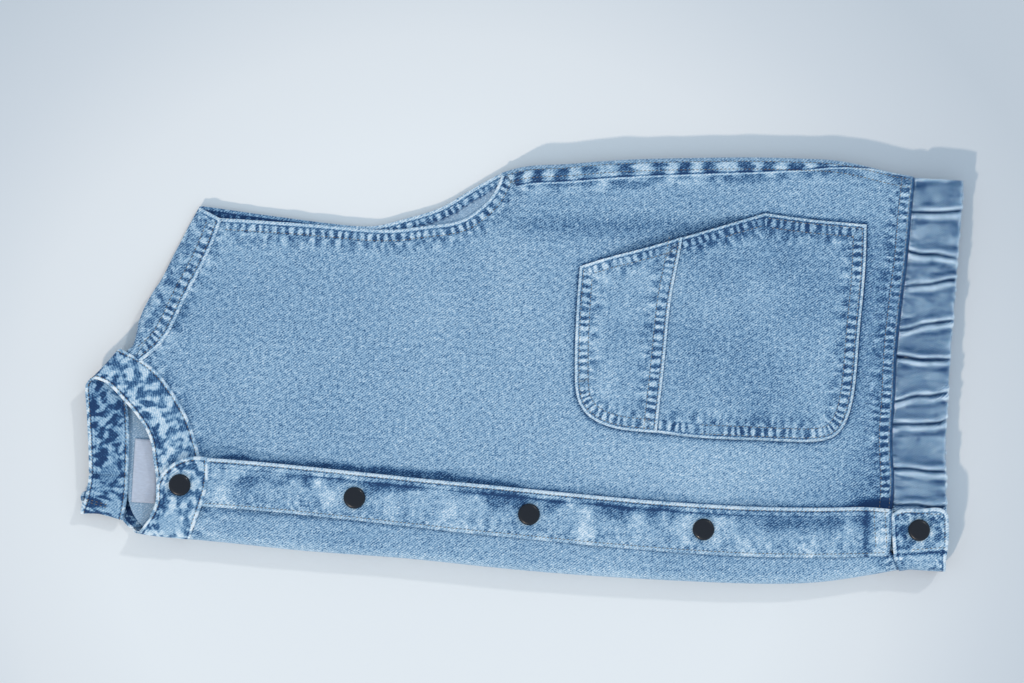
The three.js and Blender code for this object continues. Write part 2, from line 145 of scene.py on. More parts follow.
def nearestOnLine(points, line):  # how far along the line, and how far away
    a, b = line[:-1], line[1:]
    step = b - a
    size = np.maximum((step ** 2).sum(1), 1e-12)
    start = lengths(line)[:-1]
    length = np.sqrt(size)
    arc = np.empty(len(points))
    gap = np.empty(len(points))
    for first in range(0, len(points), 3000):
        p = points[first:first + 3000]
        rel = p[:, None, :] - a[None]
        t = np.clip((rel * step[None]).sum(2) / size, 0, 1)
        away = ((rel - t[:, :, None] * step[None]) ** 2).sum(2)
        best = away.argmin(1)
        rows = np.arange(len(p))
        gap[first:first + 3000] = np.sqrt(away[rows, best])
        arc[first:first + 3000] = start[best] + t[rows, best] * length[best]
    return arc, gap


edgeMarks = ("hem", "mottle", "pucker", "wear", "blotch", "ridge")


def side(points, butt=False, step=1.9, pace=1.0, **marks):
    one = {key: 0.0 for key in edgeMarks}
    one.update(marks)
    one.update(points=[tuple(map(float, p)) for p in points], butt=butt, step=step, pace=pace)
    return one


def joined(sides):
    for i, one in enumerate(sides):
        before, points = sides[i - 1]["points"][-1], one["points"]
        if math.dist(before, points[0]) > 0.01:
            points = [before] + points
        one["line"] = spline(points, one["step"])
    return sides


def edgeFacts(points, sides):  # what the nearest side of the outline says about each point
    best = np.full(len(points), 1e9)
    facts = {key: np.zeros(len(points)) for key in ("arc", *edgeMarks)}
    start = 0.0
    for one in sides:
        arc, gap = nearestOnLine(points, one["line"])
        if one["butt"]:
            gap = gap + 6
        closer = gap < best
        best = np.where(closer, gap, best)
        facts["arc"] = np.where(closer, arc * one["pace"] + start, facts["arc"])
        share = arc / lengths(one["line"])[-1]
        for key in edgeMarks:
            mark = one[key]
            if isinstance(mark, list):
                mark = np.interp(share, *zip(*mark))
            facts[key] = np.where(closer, mark, facts[key])
        start += lengths(one["line"])[-1]
    facts["gap"] = best
    return facts


def placer(surface, sides, flip=False, seed=1):  # puts flat points on the surface, with hem puckers
    def raw(points):
        here = surface(points)
        step = 0.6
        alongX = surface(points + [step, 0]) - surface(points - [step, 0])
        alongY = surface(points + [0, step]) - surface(points - [0, step])
        normal = np.cross(alongX, alongY)
        normal /= np.maximum(np.linalg.norm(normal, axis=1), 1e-9)[:, None]
        return here, -normal if flip else normal

    def place(points):
        points = np.asarray(points, float)
        here, normal = raw(points)
        facts = edgeFacts(points, sides)
        reach = np.maximum(facts["hem"], 1.0)
        window = np.exp(-((facts["gap"] - reach * 0.45) / (reach * 0.8)) ** 2)
        ripple = noise1(facts["arc"] / 3.9, seed) * 0.6 + noise1(facts["arc"] / 8.3, seed + 5) * 0.6
        lift = facts["pucker"] * window * ripple
        return here + normal * lift[:, None], normal, facts
    return place


def hexGrid(lowest, highest, spacing):  # points in offset rows
    points = []
    for index, y in enumerate(np.arange(lowest[1] + spacing * 0.5, highest[1], spacing * 0.87)):
        x = np.arange(lowest[0] + spacing * (0.3 + 0.5 * (index % 2)), highest[0], spacing)
        points.append(np.stack([x, np.full(len(x), y)], axis=1))
    return np.concatenate(points)


def gridInside(outline, spacing, fine=0.0, border=0.0):  # finer within the border
    points = hexGrid(outline.min(0), outline.max(0), spacing)
    closed = np.concatenate([outline, outline[:1]])
    if fine:
        extra = hexGrid(outline.min(0), outline.max(0), fine)
        coarse = closed[::4] if len(closed) > 40 else closed
        _, gap = nearestOnLine(extra, coarse)
        extra = extra[gap <= border]
        _, gap = nearestOnLine(points, coarse)
        points = np.concatenate([points[gap > border], extra])
    a, b = outline, np.roll(outline, -1, axis=0)
    inside = np.zeros(len(points), bool)
    for (x0, y0), (x1, y1) in zip(a, b):
        if y0 == y1:
            continue
        crosses = (points[:, 1] > min(y0, y1)) & (points[:, 1] <= max(y0, y1))
        at = x0 + (points[:, 1] - y0) * (x1 - x0) / (y1 - y0)
        inside ^= crosses & (points[:, 0] < at)
    points = points[inside]
    _, gap = nearestOnLine(points, closed)
    return points[gap > (fine or spacing) * 0.45]


def linked(name, data):
    thing = bpy.data.objects.new(name, data)
    bpy.context.scene.collection.objects.link(thing)
    return thing


def meshObject(name, vertices, faces, material):
    mesh = bpy.data.meshes.new(name)
    vertices = np.array(vertices, float)
    vertices[:, 2] = np.maximum(vertices[:, 2], 0.02)  # nothing goes through the table
    mesh.from_pydata((vertices / 1000).tolist(), [], faces)
    mesh.validate()
    mesh.polygons.foreach_set("use_smooth", np.ones(len(mesh.polygons), bool))
    mesh.materials.append(material)
    return linked(name, mesh)


def writeUv(mesh, name, perVertex):
    layer = mesh.uv_layers.new(name=name)
    corner = np.empty(len(mesh.loops), np.int32)
    mesh.loops.foreach_get("vertex_index", corner)
    layer.data.foreach_set("uv", (perVertex[corner] / 1000).astype(np.float32).ravel())


def writeValue(mesh, name, values):
    layer = mesh.attributes.new(name, "FLOAT", "POINT")
    layer.data.foreach_set("value", values.astype(np.float32))


# how a sheet is cut and meshed, where a piece's own dictionary doesn't say
plainCut = {"thickness": clothThickness, "spacing": 2.6, "fine": 0.0, "border": 13.0, "seed": 1}


def makeCloth(name, sides, surface, material, cut, flip=False, inner=1.0, outer=0.0, tint=None,
              extra=None):
    thickness, spacing, fine, border, seed = ({**plainCut, **cut}[key] for key in plainCut)
    sides = joined(sides)
    outline = np.concatenate([one["line"][:-1] for one in sides])
    place = placer(surface, sides, flip, seed)
    interior = gridInside(outline, spacing, fine, border)
    if extra is not None:
        _, gap = nearestOnLine(interior, extra[0])
        interior = np.concatenate([interior[gap > extra[1]], *extra[2]])
    count = len(outline)
    flat = np.concatenate([outline, interior])
    made = geometry.delaunay_2d_cdt([Vector(p) for p in flat], [], [list(range(count))], 1, 1e-5)
    corners = np.array([v[:] for v in made[0]])
    rank = {old: new for new, olds in enumerate(made[3]) for old in olds}
    rim = np.array([rank[i] for i in range(count)])
    triangles = np.array([f for f in made[2]], dtype=np.int64)
    p, q, r = (corners[triangles[:, k]] for k in range(3))
    turned = (q[:, 0] - p[:, 0]) * (r[:, 1] - p[:, 1]) - (q[:, 1] - p[:, 1]) * (r[:, 0] - p[:, 0])
    triangles[turned < 0] = triangles[turned < 0][:, ::-1]
    if flip:
        triangles = triangles[:, ::-1]
    top, normal, facts = place(corners)
    bottom = top - normal * thickness
    total = len(top)
    loop = top[rim]
    ahead = np.roll(loop, -1, axis=0) - np.roll(loop, 1, axis=0)
    outward = np.cross(ahead, normal[rim])
    if flip:
        outward = -outward
    outward /= np.maximum(np.linalg.norm(outward, axis=1), 1e-9)[:, None]
    butt = np.concatenate([np.full(len(one["line"]) - 1, one["butt"]) for one in sides])
    bulge = np.where(butt, 0.0, thickness * 0.42)
    middle = (top[rim] + bottom[rim]) / 2 + outward * bulge[:, None]
    vertices = np.concatenate([top, bottom, middle])
    faces = triangles.tolist() + (triangles[:, ::-1] + total).tolist()
    for i in range(count):
        j = (i + 1) % count
        a, b = rim[i], rim[j]
        m, n = 2 * total + i, 2 * total + j
        walls = [[m, n, b, a], [a + total, b + total, n, m]]
        faces += [w[::-1] for w in walls] if flip else walls
    thing = meshObject(name, vertices, faces, material)
    mesh = thing.data
    if butt.any():
        edges = np.empty((len(mesh.edges), 2), np.int32)
        mesh.edges.foreach_get("vertices", edges.ravel())
        marked = {frozenset((int(rim[i]) + lift, int(rim[(i + 1) % count]) + lift))
                  for i in range(count) if butt[i] for lift in (0, total)}
        sharp = np.array([frozenset(map(int, e)) in marked for e in edges])
        mesh.attributes.new("sharp_edge", "BOOLEAN", "EDGE").data.foreach_set("value", sharp)

    def both(values):  # the upper face, the lower face and the rim
        return np.concatenate([values, values, values[rim]])

    writeUv(mesh, "cloth", both(corners))
    edge = np.stack([facts["arc"], facts["gap"]], axis=1)
    writeUv(mesh, "edge", both(edge))
    for key in ("hem", "mottle", "wear", "blotch", "ridge"):
        writeValue(mesh, key, both(facts[key]))
    # each piece's tint: worn fading and, on several pieces, painted shade
    wornAndShaded = tint(corners, facts) if tint else np.zeros(total)
    writeValue(mesh, "fadeAndShade", both(wornAndShaded))
    turnedHem = (facts["gap"] < facts["hem"]) & (facts["hem"] > 4)
    inside = np.concatenate([np.where(turnedHem, 0, outer), np.where(turnedHem, 0, inner),
                             np.zeros(count)])
    writeValue(mesh, "inside", inside)
    flatArea = abs(np.sum(outline[:, 0] * np.roll(outline[:, 1], -1)
                          - outline[:, 1] * np.roll(outline[:, 0], -1))) / 2
    extent = outline.max(0) - outline.min(0)
    thing["flat"] = [float(extent[0] / 1000), float(extent[1] / 1000)]
    area = min(flatArea / 1e6, 0.999 * extent[0] * extent[1] / 1e6)
    thing["area"] = float(max(area, 0.302 * extent[0] * extent[1] / 1e6))
    return thing, place


# cuts one sheet into closed pieces, so that each can follow its own body
def parted(whole, measure, pieces):
    made = []
    for name, lowest, highest in pieces:
        bm = bmesh.new()
        bm.from_mesh(whole.data)
        uv = bm.loops.layers.uv["cloth"]
        flat = [np.array([loop[uv].uv for loop in face.loops]) * 1000 for face in bm.faces]
        where = measure(np.array([corners.mean(0) for corners in flat]))
        keep = (where >= lowest) & (where < highest)
        kept = [corners for corners, stays in zip(flat, keep) if stays]
        area = sum(abs(np.dot(c[:, 0], np.roll(c[:, 1], -1)) - np.dot(c[:, 1], np.roll(c[:, 0], -1)))
                   for c in kept) / 4e6
        bmesh.ops.delete(bm, geom=[f for f, stays in zip(list(bm.faces), keep) if not stays],
                         context="FACES")
        cut = [edge for edge in bm.edges if edge.is_boundary]
        for edge in cut:
            edge.smooth = False
        closing = bmesh.ops.holes_fill(bm, edges=cut, sides=0)["faces"]
        for face in closing:
            loop = face.loops[0]
            if loop.link_loop_radial_next.vert == loop.vert:
                face.normal_flip()
            face.smooth = False
        bmesh.ops.triangulate(bm, faces=closing)
        mesh = bpy.data.meshes.new(name)
        bm.to_mesh(mesh)
        bm.free()
        thing = linked(name, mesh)
        mesh.materials.append(whole.data.materials[0])
        extent = np.ptp(np.concatenate(kept), axis=0) / 1000
        thing["flat"] = [float(extent[0]), float(extent[1])]
        square = extent[0] * extent[1]
        thing["area"] = float(min(max(area, 0.302 * square), 0.999 * square))
        made.append(thing)
    bpy.data.objects.remove(whole)
    return made


def pastFold(fold):  # how far past the fold a place on the flat cloth lies
    return lambda p: fold(p[:, 0]) - p[:, 1]


def finishSheet(thing, nodes, body=None):
    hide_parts(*nodes)
    tuple(thing["flat"])
    if body:
        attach(thing, body)


class Shader:
    def __init__(self, name):
        self.material = bpy.data.materials.new(name)
        self.material.use_nodes = True
        self.nodes = self.material.node_tree.nodes
        self.links = self.material.node_tree.links
        self.surface = self.nodes["Principled BSDF"]

    def add(self, kind, **settings):
        node = self.nodes.new(kind)
        for key, value in settings.items():
            setattr(node, key, value)
        return node

    def feed(self, socket, value):
        if isinstance(value, bpy.types.NodeSocket):
            self.links.new(value, socket)
        else:
            socket.default_value = value

    def math(self, operation, *values, clamp=False):
        node = self.add("ShaderNodeMath", operation=operation, use_clamp=clamp)
        for socket, value in zip(node.inputs, values):
            self.feed(socket, value)
        return node.outputs[0]

    def plus(self, total, *others):
        for value in others:
            total = self.math("ADD", total, value)
        return total

    def times(self, total, *others):
        for value in others:
            total = self.math("MULTIPLY", total, value)
        return total

    def near(self, value, middle, far, close):  # 1 beside a line, 0 away from it
        return self.step(self.math("ABSOLUTE", self.math("SUBTRACT", value, middle)), far, close)

    def split(self, vector):
        node = self.add("ShaderNodeSeparateXYZ")
        self.links.new(vector, node.inputs[0])
        return node.outputs

    def value(self, name):
        return self.add("ShaderNodeAttribute", attribute_name=name).outputs["Fac"]

    def uv(self, name):
        return self.add("ShaderNodeUVMap", uv_map=name).outputs["UV"]

    def scaled(self, vector, sizes, shift=(0, 0, 0)):
        node = self.add("ShaderNodeMapping")
        self.feed(node.inputs["Vector"], vector)
        node.inputs["Scale"].default_value = sizes
        node.inputs["Location"].default_value = shift
        return node.outputs[0]

    def noise(self, vector, detail=2.0, rough=0.5):
        node = self.add("ShaderNodeTexNoise")
        self.feed(node.inputs["Vector"], vector)
        node.inputs["Scale"].default_value = 1.0
        node.inputs["Detail"].default_value = detail
        node.inputs["Roughness"].default_value = rough
        return node.outputs["Fac"]

    def step(self, value, start, end, lowest=0.0, highest=1.0):
        node = self.add("ShaderNodeMapRange", interpolation_type="SMOOTHSTEP")
        for socket, number in zip(("Value", "From Min", "From Max", "To Min", "To Max"),
                                  (value, start, end, lowest, highest)):
            self.feed(node.inputs[socket], number)
        return node.outputs[0]

    def spread(self, value, start, end):
        node = self.add("ShaderNodeMapRange", clamp=False)
        for socket, number in zip(("Value", "From Min", "From Max", "To Min", "To Max"),
                                  (value, start, end, -0.5, 0.5)):
            self.feed(node.inputs[socket], number)
        return node.outputs[0]

    def ramp(self, value, stops):
        node = self.add("ShaderNodeValToRGB")
        self.feed(node.inputs["Fac"], value)
        while len(node.color_ramp.elements) < len(stops):
            node.color_ramp.elements.new(0.5)
        for element, (position, colour) in zip(node.color_ramp.elements, stops):
            element.position = position
            element.color = (*colour, 1)
        return node.outputs["Color"]

    def bump(self, height, distance, strength=1.0):
        node = self.add("ShaderNodeBump")
        self.feed(node.inputs["Height"], height)
        node.inputs["Distance"].default_value = distance
        node.inputs["Strength"].default_value = strength
        self.links.new(node.outputs["Normal"], self.surface.inputs["Normal"])

    def finish(self, **sockets):
        for name, value in sockets.items():
            self.surface.inputs[name.replace("_", " ")].default_value = value


denimLook = {
    "deepest": (0.012, 0.045, 0.130),
    "dark": (0.042, 0.132, 0.275),
    "middle": (0.235, 0.395, 0.560),
    "light": (0.440, 0.595, 0.725),
    "palest": (0.760, 0.840, 0.900),
    "base": 0.50,
    "twillPitch": 1.55,  # millimetres between the diagonal lines
    "rungPitch": 0.0058,  # metres between the puckers of a hem
    "blotLong": 185,
    "blotAcross": 120,
    "twill": 0.14,
    "grain": 0.58,
    "fleck": 0.19,
    "slub": 0.06,
    "cloudy": 0.035,
    "rungs": 0.62,
    "fingers": 0.54,
    "ridge": 0.30,
    "rim": 0.36,
    "besideRim": 0.26,
    "groove": 0.16,
    "reverseDark": (0.27, 0.40, 0.54),
    "reversePale": (0.52, 0.63, 0.73),
}


def denim(name, look):
    s = Shader(name)
    cloth, edge = s.uv("cloth"), s.uv("edge")
    hem, mottle, wear = s.value("hem"), s.value("mottle"), s.value("wear")

    # the weave
    turn = 2 * math.pi * 1000 / look["twillPitch"]
    onCloth = s.split(cloth)
    waver = s.noise(s.scaled(cloth, (170, 170, 1)), 1.0)
    twill = s.math("SINE", s.plus(s.times(onCloth[0], turn * 0.64), s.times(onCloth[1], -turn * 0.77),
                                  s.times(waver, 7.0)))
    grain = s.spread(s.noise(s.scaled(cloth, (760, 980, 1)), 2.0, 0.7), 0.30, 0.70)
    slub = s.spread(s.noise(s.scaled(cloth, (120, 560, 1), (3, 1, 0)), 2.0, 0.6), 0.32, 0.68)
    fleck = s.spread(s.noise(s.scaled(cloth, (330, 330, 1), (1, 8, 0)), 1.0, 0.5), 0.34, 0.66)
    cloudy = s.spread(s.noise(s.scaled(cloth, (19, 24, 1), (7, 2, 0)), 3.0, 0.55), 0.3, 0.7)
    fadeAndShade = s.plus(s.times(twill, look["twill"]), look["base"])
    for pattern, key in ((grain, "grain"), (slub, "slub"), (fleck, "fleck"), (cloudy, "cloudy")):
        fadeAndShade = s.plus(fadeAndShade, s.times(pattern, look[key]))

    # puckers inside a hem, and the feathered wash just past its stitches
    onEdge = s.split(edge)
    gap = s.times(onEdge[1], 1000.0)
    past = s.math("SUBTRACT", gap, hem)
    wander = s.noise(s.scaled(edge, (60, 22, 1)), 1.0, 0.5)
    fleckle = s.noise(s.scaled(edge, (190, 260, 1), (2, 6, 0)), 1.5, 0.5)
    turns = s.plus(s.times(onEdge[0], 2 * math.pi / look["rungPitch"]), s.times(wander, 11.0))
    rungs = s.plus(s.math("SINE", turns), s.times(s.spread(fleckle, 0.3, 0.7), 1.5))
    soft = s.noise(s.scaled(edge, (45, 40, 1), (4, 4, 0)), 1.0)
    rungs = s.times(s.step(rungs, -0.9, 0.95, -0.56, 0.36), s.step(soft, 0.3, 0.6, 0.35, 1.25))
    rungs = s.times(rungs, s.step(gap, 2.2, 3.4), s.step(past, 0.6, -1.2))
    fingers = s.noise(s.scaled(edge, (200, 80, 1), (5, 0, 0)), 1.5, 0.5)
    fingers = s.times(s.step(fingers, 0.35, 0.68, -0.60, 0.42), s.step(past, 0.2, 1.6),
                      s.step(past, 13.0, 1.0))
    blots = s.noise(s.scaled(cloth, (look["blotLong"], look["blotAcross"], 1), (2, 9, 0)), 1.2, 0.45)

    # rolled ridge, worn rim with a dark line beside it, and the groove under the stitches
    ridge = s.plus(s.near(past, 0.5, 1.1, 0.3), s.times(s.near(past, -0.7, 1.0, 0.3), -1.3))
    rim = s.times(s.step(gap, 2.0, 1.2), wear, s.plus(s.times(grain, 0.25), 0.85))
    besideRim = s.times(s.near(gap, 2.45, 0.85, 0.25), s.math("MAXIMUM", wear, 0.0))
    groove = s.times(s.near(past, 0.0, 0.8, 0.25), s.step(hem, 4.4, 5.0))
    fadeAndShade = s.plus(fadeAndShade, s.times(rungs, mottle, look["rungs"]), s.times(fingers, mottle, look["fingers"]),
                  s.times(s.step(blots, 0.40, 0.60, -0.66, 0.42), s.value("blotch")),
                  s.times(ridge, look["ridge"], s.value("ridge")), s.times(rim, look["rim"]),
                  s.times(besideRim, -look["besideRim"]), s.times(groove, -look["groove"]))
    # the attribute adds each piece's worn fading together with its painted shade
    fadeAndShade = s.math("ADD", fadeAndShade, s.value("fadeAndShade"), clamp=True)
    colour = s.ramp(fadeAndShade, [(0.0, look["deepest"]), (0.22, look["dark"]), (0.5, look["middle"]),
                           (0.74, look["light"]), (1.0, look["palest"])])
    reverse = s.ramp(s.plus(s.times(grain, 0.8), s.times(twill, 0.1)),
                     [(0.0, look["reverseDark"]), (0.4, look["reversePale"])])
    mix = s.add("ShaderNodeMix", data_type="RGBA")
    s.feed(mix.inputs["Factor"], s.times(s.value("inside"), 0.8))
    s.feed(mix.inputs[6], colour)
    s.feed(mix.inputs[7], reverse)
    s.links.new(mix.outputs[2], s.surface.inputs["Base Color"])
    s.finish(Roughness=0.93, Specular_IOR_Level=0.22, Sheen_Weight=0.12, Sheen_Roughness=0.5)
    relief = s.plus(s.times(twill, 0.35), s.times(grain, 0.8), s.times(rungs, mottle, 2.0))
    s.bump(relief, 0.00022, 0.8)
    return s.material


def plain(name, colour, roughness=0.5, metallic=0.0, coat=0.0, grainSize=0.0, grainDepth=0.0):
    s = Shader(name)
    coords = s.add("ShaderNodeTexCoord").outputs["Object"]
    speck = s.noise(s.scaled(coords, (900, 900, 900)), 3.0, 0.6)
    dark = tuple(c * 0.78 for c in colour)
    s.links.new(s.ramp(speck, [(0.3, dark), (0.7, colour)]), s.surface.inputs["Base Color"])
    s.finish(Roughness=roughness, Metallic=metallic, Coat_Weight=coat)
    if grainDepth:
        s.bump(s.noise(s.scaled(coords, (grainSize,) * 3), 2.0), grainDepth)
    return s.material


def ribbon(name, colour, ribs):
    s = Shader(name)
    coords = s.add("ShaderNodeTexCoord").outputs["Object"]
    rows = s.math("SINE", s.times(s.split(coords)[1], ribs))
    speck = s.noise(s.scaled(coords, (300, 900, 300)), 2.0)
    tone = s.plus(s.times(rows, 0.12), speck)
    s.links.new(s.ramp(tone, [(0.2, tuple(c * 0.82 for c in colour)), (0.8, colour)]),
                s.surface.inputs["Base Color"])
    s.finish(Roughness=0.42, Sheen_Weight=0.25)
    s.bump(rows, 0.00008)
    return s.material


washedDenim = denim("washed denim", denimLook)
pocketDenim = denim("pocket denim", {**denimLook, "base": 0.455})
mottled = {**denimLook, "twill": 0.09, "grain": 0.40, "fleck": 0.10}
collarDenim = denim("collar denim", {**mottled, "blotLong": 180, "blotAcross": 135})
backCollarDenim = denim("back collar denim", {**mottled, "blotLong": 215, "blotAcross": 75})
bandDenim = denim("waistband denim", {**denimLook, "twill": 0.36, "grain": 0.92, "base": 0.435})
capEnamel = plain("black snap enamel", (0.008, 0.010, 0.016), 0.34, 0.0, 0.12, 1400, 0.00005)
capEnamel.node_tree.nodes["Principled BSDF"].inputs["Specular IOR Level"].default_value = 0.3
snapNickel = plain("nickel-plated brass", (0.62, 0.60, 0.55), 0.3, 1.0)
whiteElastic = ribbon("woven elastic", (0.82, 0.82, 0.79), 4200)
paleRibbon = ribbon("label ribbon", (0.55, 0.62, 0.75), 9000)
threadTan = plain("tan thread", (0.24, 0.19, 0.13), 0.8)
threadPale = plain("pale thread", (0.36, 0.34, 0.30), 0.8)
print("smock: materials made")


smock = {  # the lines that the pieces share
    "foldLine": [(-8, 20), (20, 14), (45, 10), (91, 8), (164, 5), (236, 4), (310, 1), (455, 0),
                 (513, 2), (542, 5), (585, 14), (602, 18), (629, 26), (646, 34)],
    "sideLine": [(294, 289), (306, 293), (335, 297), (364, 301), (436, 308), (480, 311), (509, 312),
                 (538, 312), (560, 309), (577, 306), (593, 304)],
    "frontArmhole": [(89, 243), (113, 243), (178, 242), (222, 243), (243, 247), (265, 252),
                     (279, 262), (288, 273), (294, 289)],
    "backArmhole": [(74, 251), (94, 249.6), (113, 248), (140, 246), (178, 243.6), (207, 245), (221, 249.5),
                    (250, 260.5), (271, 274.5), (294, 289)],
    "shoulderSeam": [(38, 136.5), (53, 152), (66, 182), (78, 210), (87, 236), (89, 243)],
    "shoulderEdge": [(28, 142.5), (32, 146), (35, 158), (50, 196), (63, 226), (74, 250)],
    "neckSeam": [(38, 136.5), (47, 131), (62, 115), (74, 97), (81, 81), (84.5, 70), (86.5, 58),
                 (87, 44)],
    "waistSeam": [(600, 16), (595, 38), (592, 61), (591, 83), (588, 112), (588, 141), (587.5, 170),
                  (588, 192), (589.6, 221), (591, 243), (591.6, 272), (593, 304)],
    "halfShift": 84.0,  # the right half lies this much nearer the fold
    "rumple": 0.55,
    "sideDrop": 6.0,
}
foldFine = spline(smock["foldLine"], 2.0)
sideFine = spline(smock["sideLine"], 2.0)
waistFine = spline(smock["waistSeam"], 2.0)


def foldAt(a):
    return np.interp(a, foldFine[:, 0], foldFine[:, 1])


def waistAt(b):
    return np.interp(b, waistFine[:, 1], waistFine[:, 0])


def rumple(a, b, size, seed):
    return noise2(a / size, b / size, seed) + 0.45 * noise2(a / size * 2.3 + 5, b / size * 2.3, seed + 3)


def settled(a, b, z):  # the layers close up towards the armhole, with the cloth as thick as before
    slack = 1 - 0.96 * smooth(150, 228, b) * smooth(318, 284, a) * smooth(34, 62, a)
    out = z
    for start, end in gaps:
        out = out - (1 - slack) * (np.clip(z, start, end) - start)
    return out


gaps = ((clothThickness + 0.3, heights["rightBack"] - clothThickness),
        (heights["rightBack"] + 0.1, heights["leftBack"] - clothThickness - 0.1),
        (heights["leftBack"] + 0.1, heights["front"] - clothThickness - 0.1))


def stack(a, b, z):  # a place on the smock and a height, as points in the frame
    return np.stack([a + low[0], b + low[1], settled(a, b, z)], axis=1)


snapPlaces = [sum(nodeBox(f"snap_cap_{number}")) / 2 - low for number in range(1, 6)]
firstSnap, lastSnap = snapPlaces[0], snapPlaces[-1]


def placketLine(a, offset):  # the placket bows a little towards the fold
    t = np.clip((np.asarray(a, float) - firstSnap[0]) / (lastSnap[0] - firstSnap[0]), 0, 1)
    return firstSnap[1] + offset - 9 * np.sin(np.pi * t * t)


def placketSide(start, end, offset, count=9):
    a = np.linspace(start, end, count)
    return np.stack([a, placketLine(a, offset)], axis=1)


def sheetTurn(reach, lowZ, highZ):  # half a turn of cloth, from the top layer to the one below
    angle = np.linspace(0, math.pi, 90)
    middle, half = (lowZ + highZ) / 2, (highZ - lowZ) / 2
    path = np.stack([-reach * np.sin(angle), middle + half * np.cos(angle)], axis=1)
    return lengths(path), path


def rolled(p, start, turnTable):
    along, path = turnTable  # p[:, 1] goes down past the fold and comes back underneath
    s = start - p[:, 1]
    total = along[-1]
    b = np.where(s <= 0, p[:, 1], np.where(
        s < total, start + np.interp(s, along, path[:, 0]), start + (s - total)))
    z = np.interp(s, along, path[:, 1])
    return b, z, smooth(0, total, s)


# the pocket's outline comes first, because the front is darker round it
pocket = {
    "mouth": [(354, 224), (368, 229.5), (397, 239), (425, 249), (454, 259), (486, 270.5)],
    "far": [(486, 270.5), (512, 268.5), (540, 267.5), (560, 267)],
    "side": [(560, 267), (561, 241), (560.5, 212), (559.5, 183), (559, 154), (556.5, 132),
             (553, 121), (546, 112), (536, 108), (522, 106.3)],
    "bottom": [(522, 106.3), (486, 105.6), (449, 105), (412, 106.8), (376, 111), (365, 117.5),
               (358.5, 127), (355.5, 141)],
    "left": [(355.5, 141), (354.2, 163), (353.6, 195), (354, 224)],
    "divider": [(427, 249.8), (424.6, 230), (422, 211), (420, 180), (419, 150), (418, 131), (417, 106.8)],
    "puff": 1.7,
    "mouthLift": 3.0,
    "narrowCut": {"spacing": 1.7, "seed": 31},
    "wideCut": {"spacing": 2.0, "seed": 33},
}
pocketSewn = np.concatenate([spline(pocket[key], 3.0) for key in ("far", "side", "bottom", "left")])
pocketMouth = spline(pocket["mouth"], 3.0)
pocketRound = np.concatenate([pocketSewn, pocketMouth[1:]])


def beside(track, distance, step=1.5):
    fine = evenly(track, step)
    way = np.gradient(fine, axis=0)
    way /= np.maximum(np.linalg.norm(way, axis=1), 1e-9)[:, None]
    return fine + np.stack([-way[:, 1], way[:, 0]], 1) * distance


leftFront = {
    "top": heights["front"],
    "sideRoll": 8.0,
    "ridgeHeight": 2.0,
    "armHem": 8.5,
    "waistHem": 9.5,
    "spacing": 2.9,
    "fine": 1.45,
    "border": 12,
    "seed": 2,
}


def sideRidge(a):  # the long ridge beside the side seam
    return np.interp(a, [290, 370, 440, 520, 575], [264, 267, 272, 275, 278])


def frontSurface(p):
    a, b = p[:, 0], p[:, 1]
    z = leftFront["top"] + smock["rumple"] * (0.2 + rumple(a, b, 46, 3))
    z += 0.28 * noise2((a + b * 0.5) / 13, (b - a * 0.3) / 21, 8)
    gap = np.interp(a, sideFine[:, 0], sideFine[:, 1]) - b
    gap = np.where(a < 294, 99, gap)
    t = np.clip(1 - gap / leftFront["sideRoll"], 0, 1)
    z -= smock["sideDrop"] * (1 - np.sqrt(np.maximum(1 - t * t, 0)))
    ridge = np.exp(-((b - sideRidge(a)) / 6.5) ** 2) * smooth(285, 340, a) * smooth(590, 470, a)
    z += leftFront["ridgeHeight"] * ridge
    fold = 248 - (141 - a) * 1.28
    z += 0.9 * np.exp(-((b - fold) / 9) ** 2) * smooth(60, 90, a) * smooth(185, 140, a)
    toWaist = waistAt(b) - a
    z += 0.9 * smooth(11, 6, toWaist)
    z += 0.55 * noise1(b / 6.5, 4) * smooth(34, 8, toWaist) * smooth(1, 6, toWaist)
    nearPlacket = b - placketLine(a, 14.8)
    z += 0.35 * noise1(a / 15, 12) * smooth(30, 6, nearPlacket)
    z += (0.5 + 1.9 * smooth(230, 400, a) * smooth(592, 560, a)) * smooth(18, 4, nearPlacket)
    return stack(a, b, z)


def frontTint(p, facts):
    a, b = p[:, 0], p[:, 1]
    above = b - placketLine(a, 17.5)
    reach = 1.6 + (2.6 + 3.2 * noise1(a / 22, 15) + noise1(a / 7, 16)) * smooth(380, 240, a)
    # painted shadow cast by the placket's free edge onto the front, wider towards the collar
    value = 0.03 * rumple(a, b, 60, 14) - 0.38 * smooth(reach + 1.4, reach - 1.4, above)
    # painted shade in the dark opening under the placket's end at the waist corner
    value -= 1.0 * np.exp(-((a - 581) / 13) ** 2 - ((above - 1.8) / 4.0) ** 2)
    value += 0.34 * np.exp(-((a - 290.5) / 2.8) ** 2 - ((b - 281) / 4.5) ** 2)  # the tack under the arm
    value -= 0.40 * np.exp(-((a - 285.5) / 1.3) ** 2 - ((b - 280) / 5) ** 2)
    value -= 0.30 * np.exp(-((a - 296.5) / 1.1) ** 2 - ((b - 283) / 6) ** 2)
    # painted shade on the slope below the ridge by the side seam
    shadeBelowRidge = np.exp(-((b - sideRidge(a) + 13) / 8) ** 2)
    value -= 0.15 * shadeBelowRidge * smooth(285, 320, a) * smooth(520, 400, a)
    value -= 0.09 * smooth(552, 566, a) * smooth(275, 245, b) + 0.04 * smooth(500, 540, a)
    value -= 0.03 * smooth(180, 110, b) * smooth(300, 200, a)
    value += 0.06 * smooth(120, 80, b) * smooth(300, 380, a) * smooth(560, 480, a)
    _, gap = nearestOnLine(p, pocketRound)
    # darker ring round the pocket: denim left less faded beside the seam, and partly painted contact shade
    return value - 0.26 * smooth(2.6, 0.8, gap) - 0.05 * smooth(9, 2, gap)


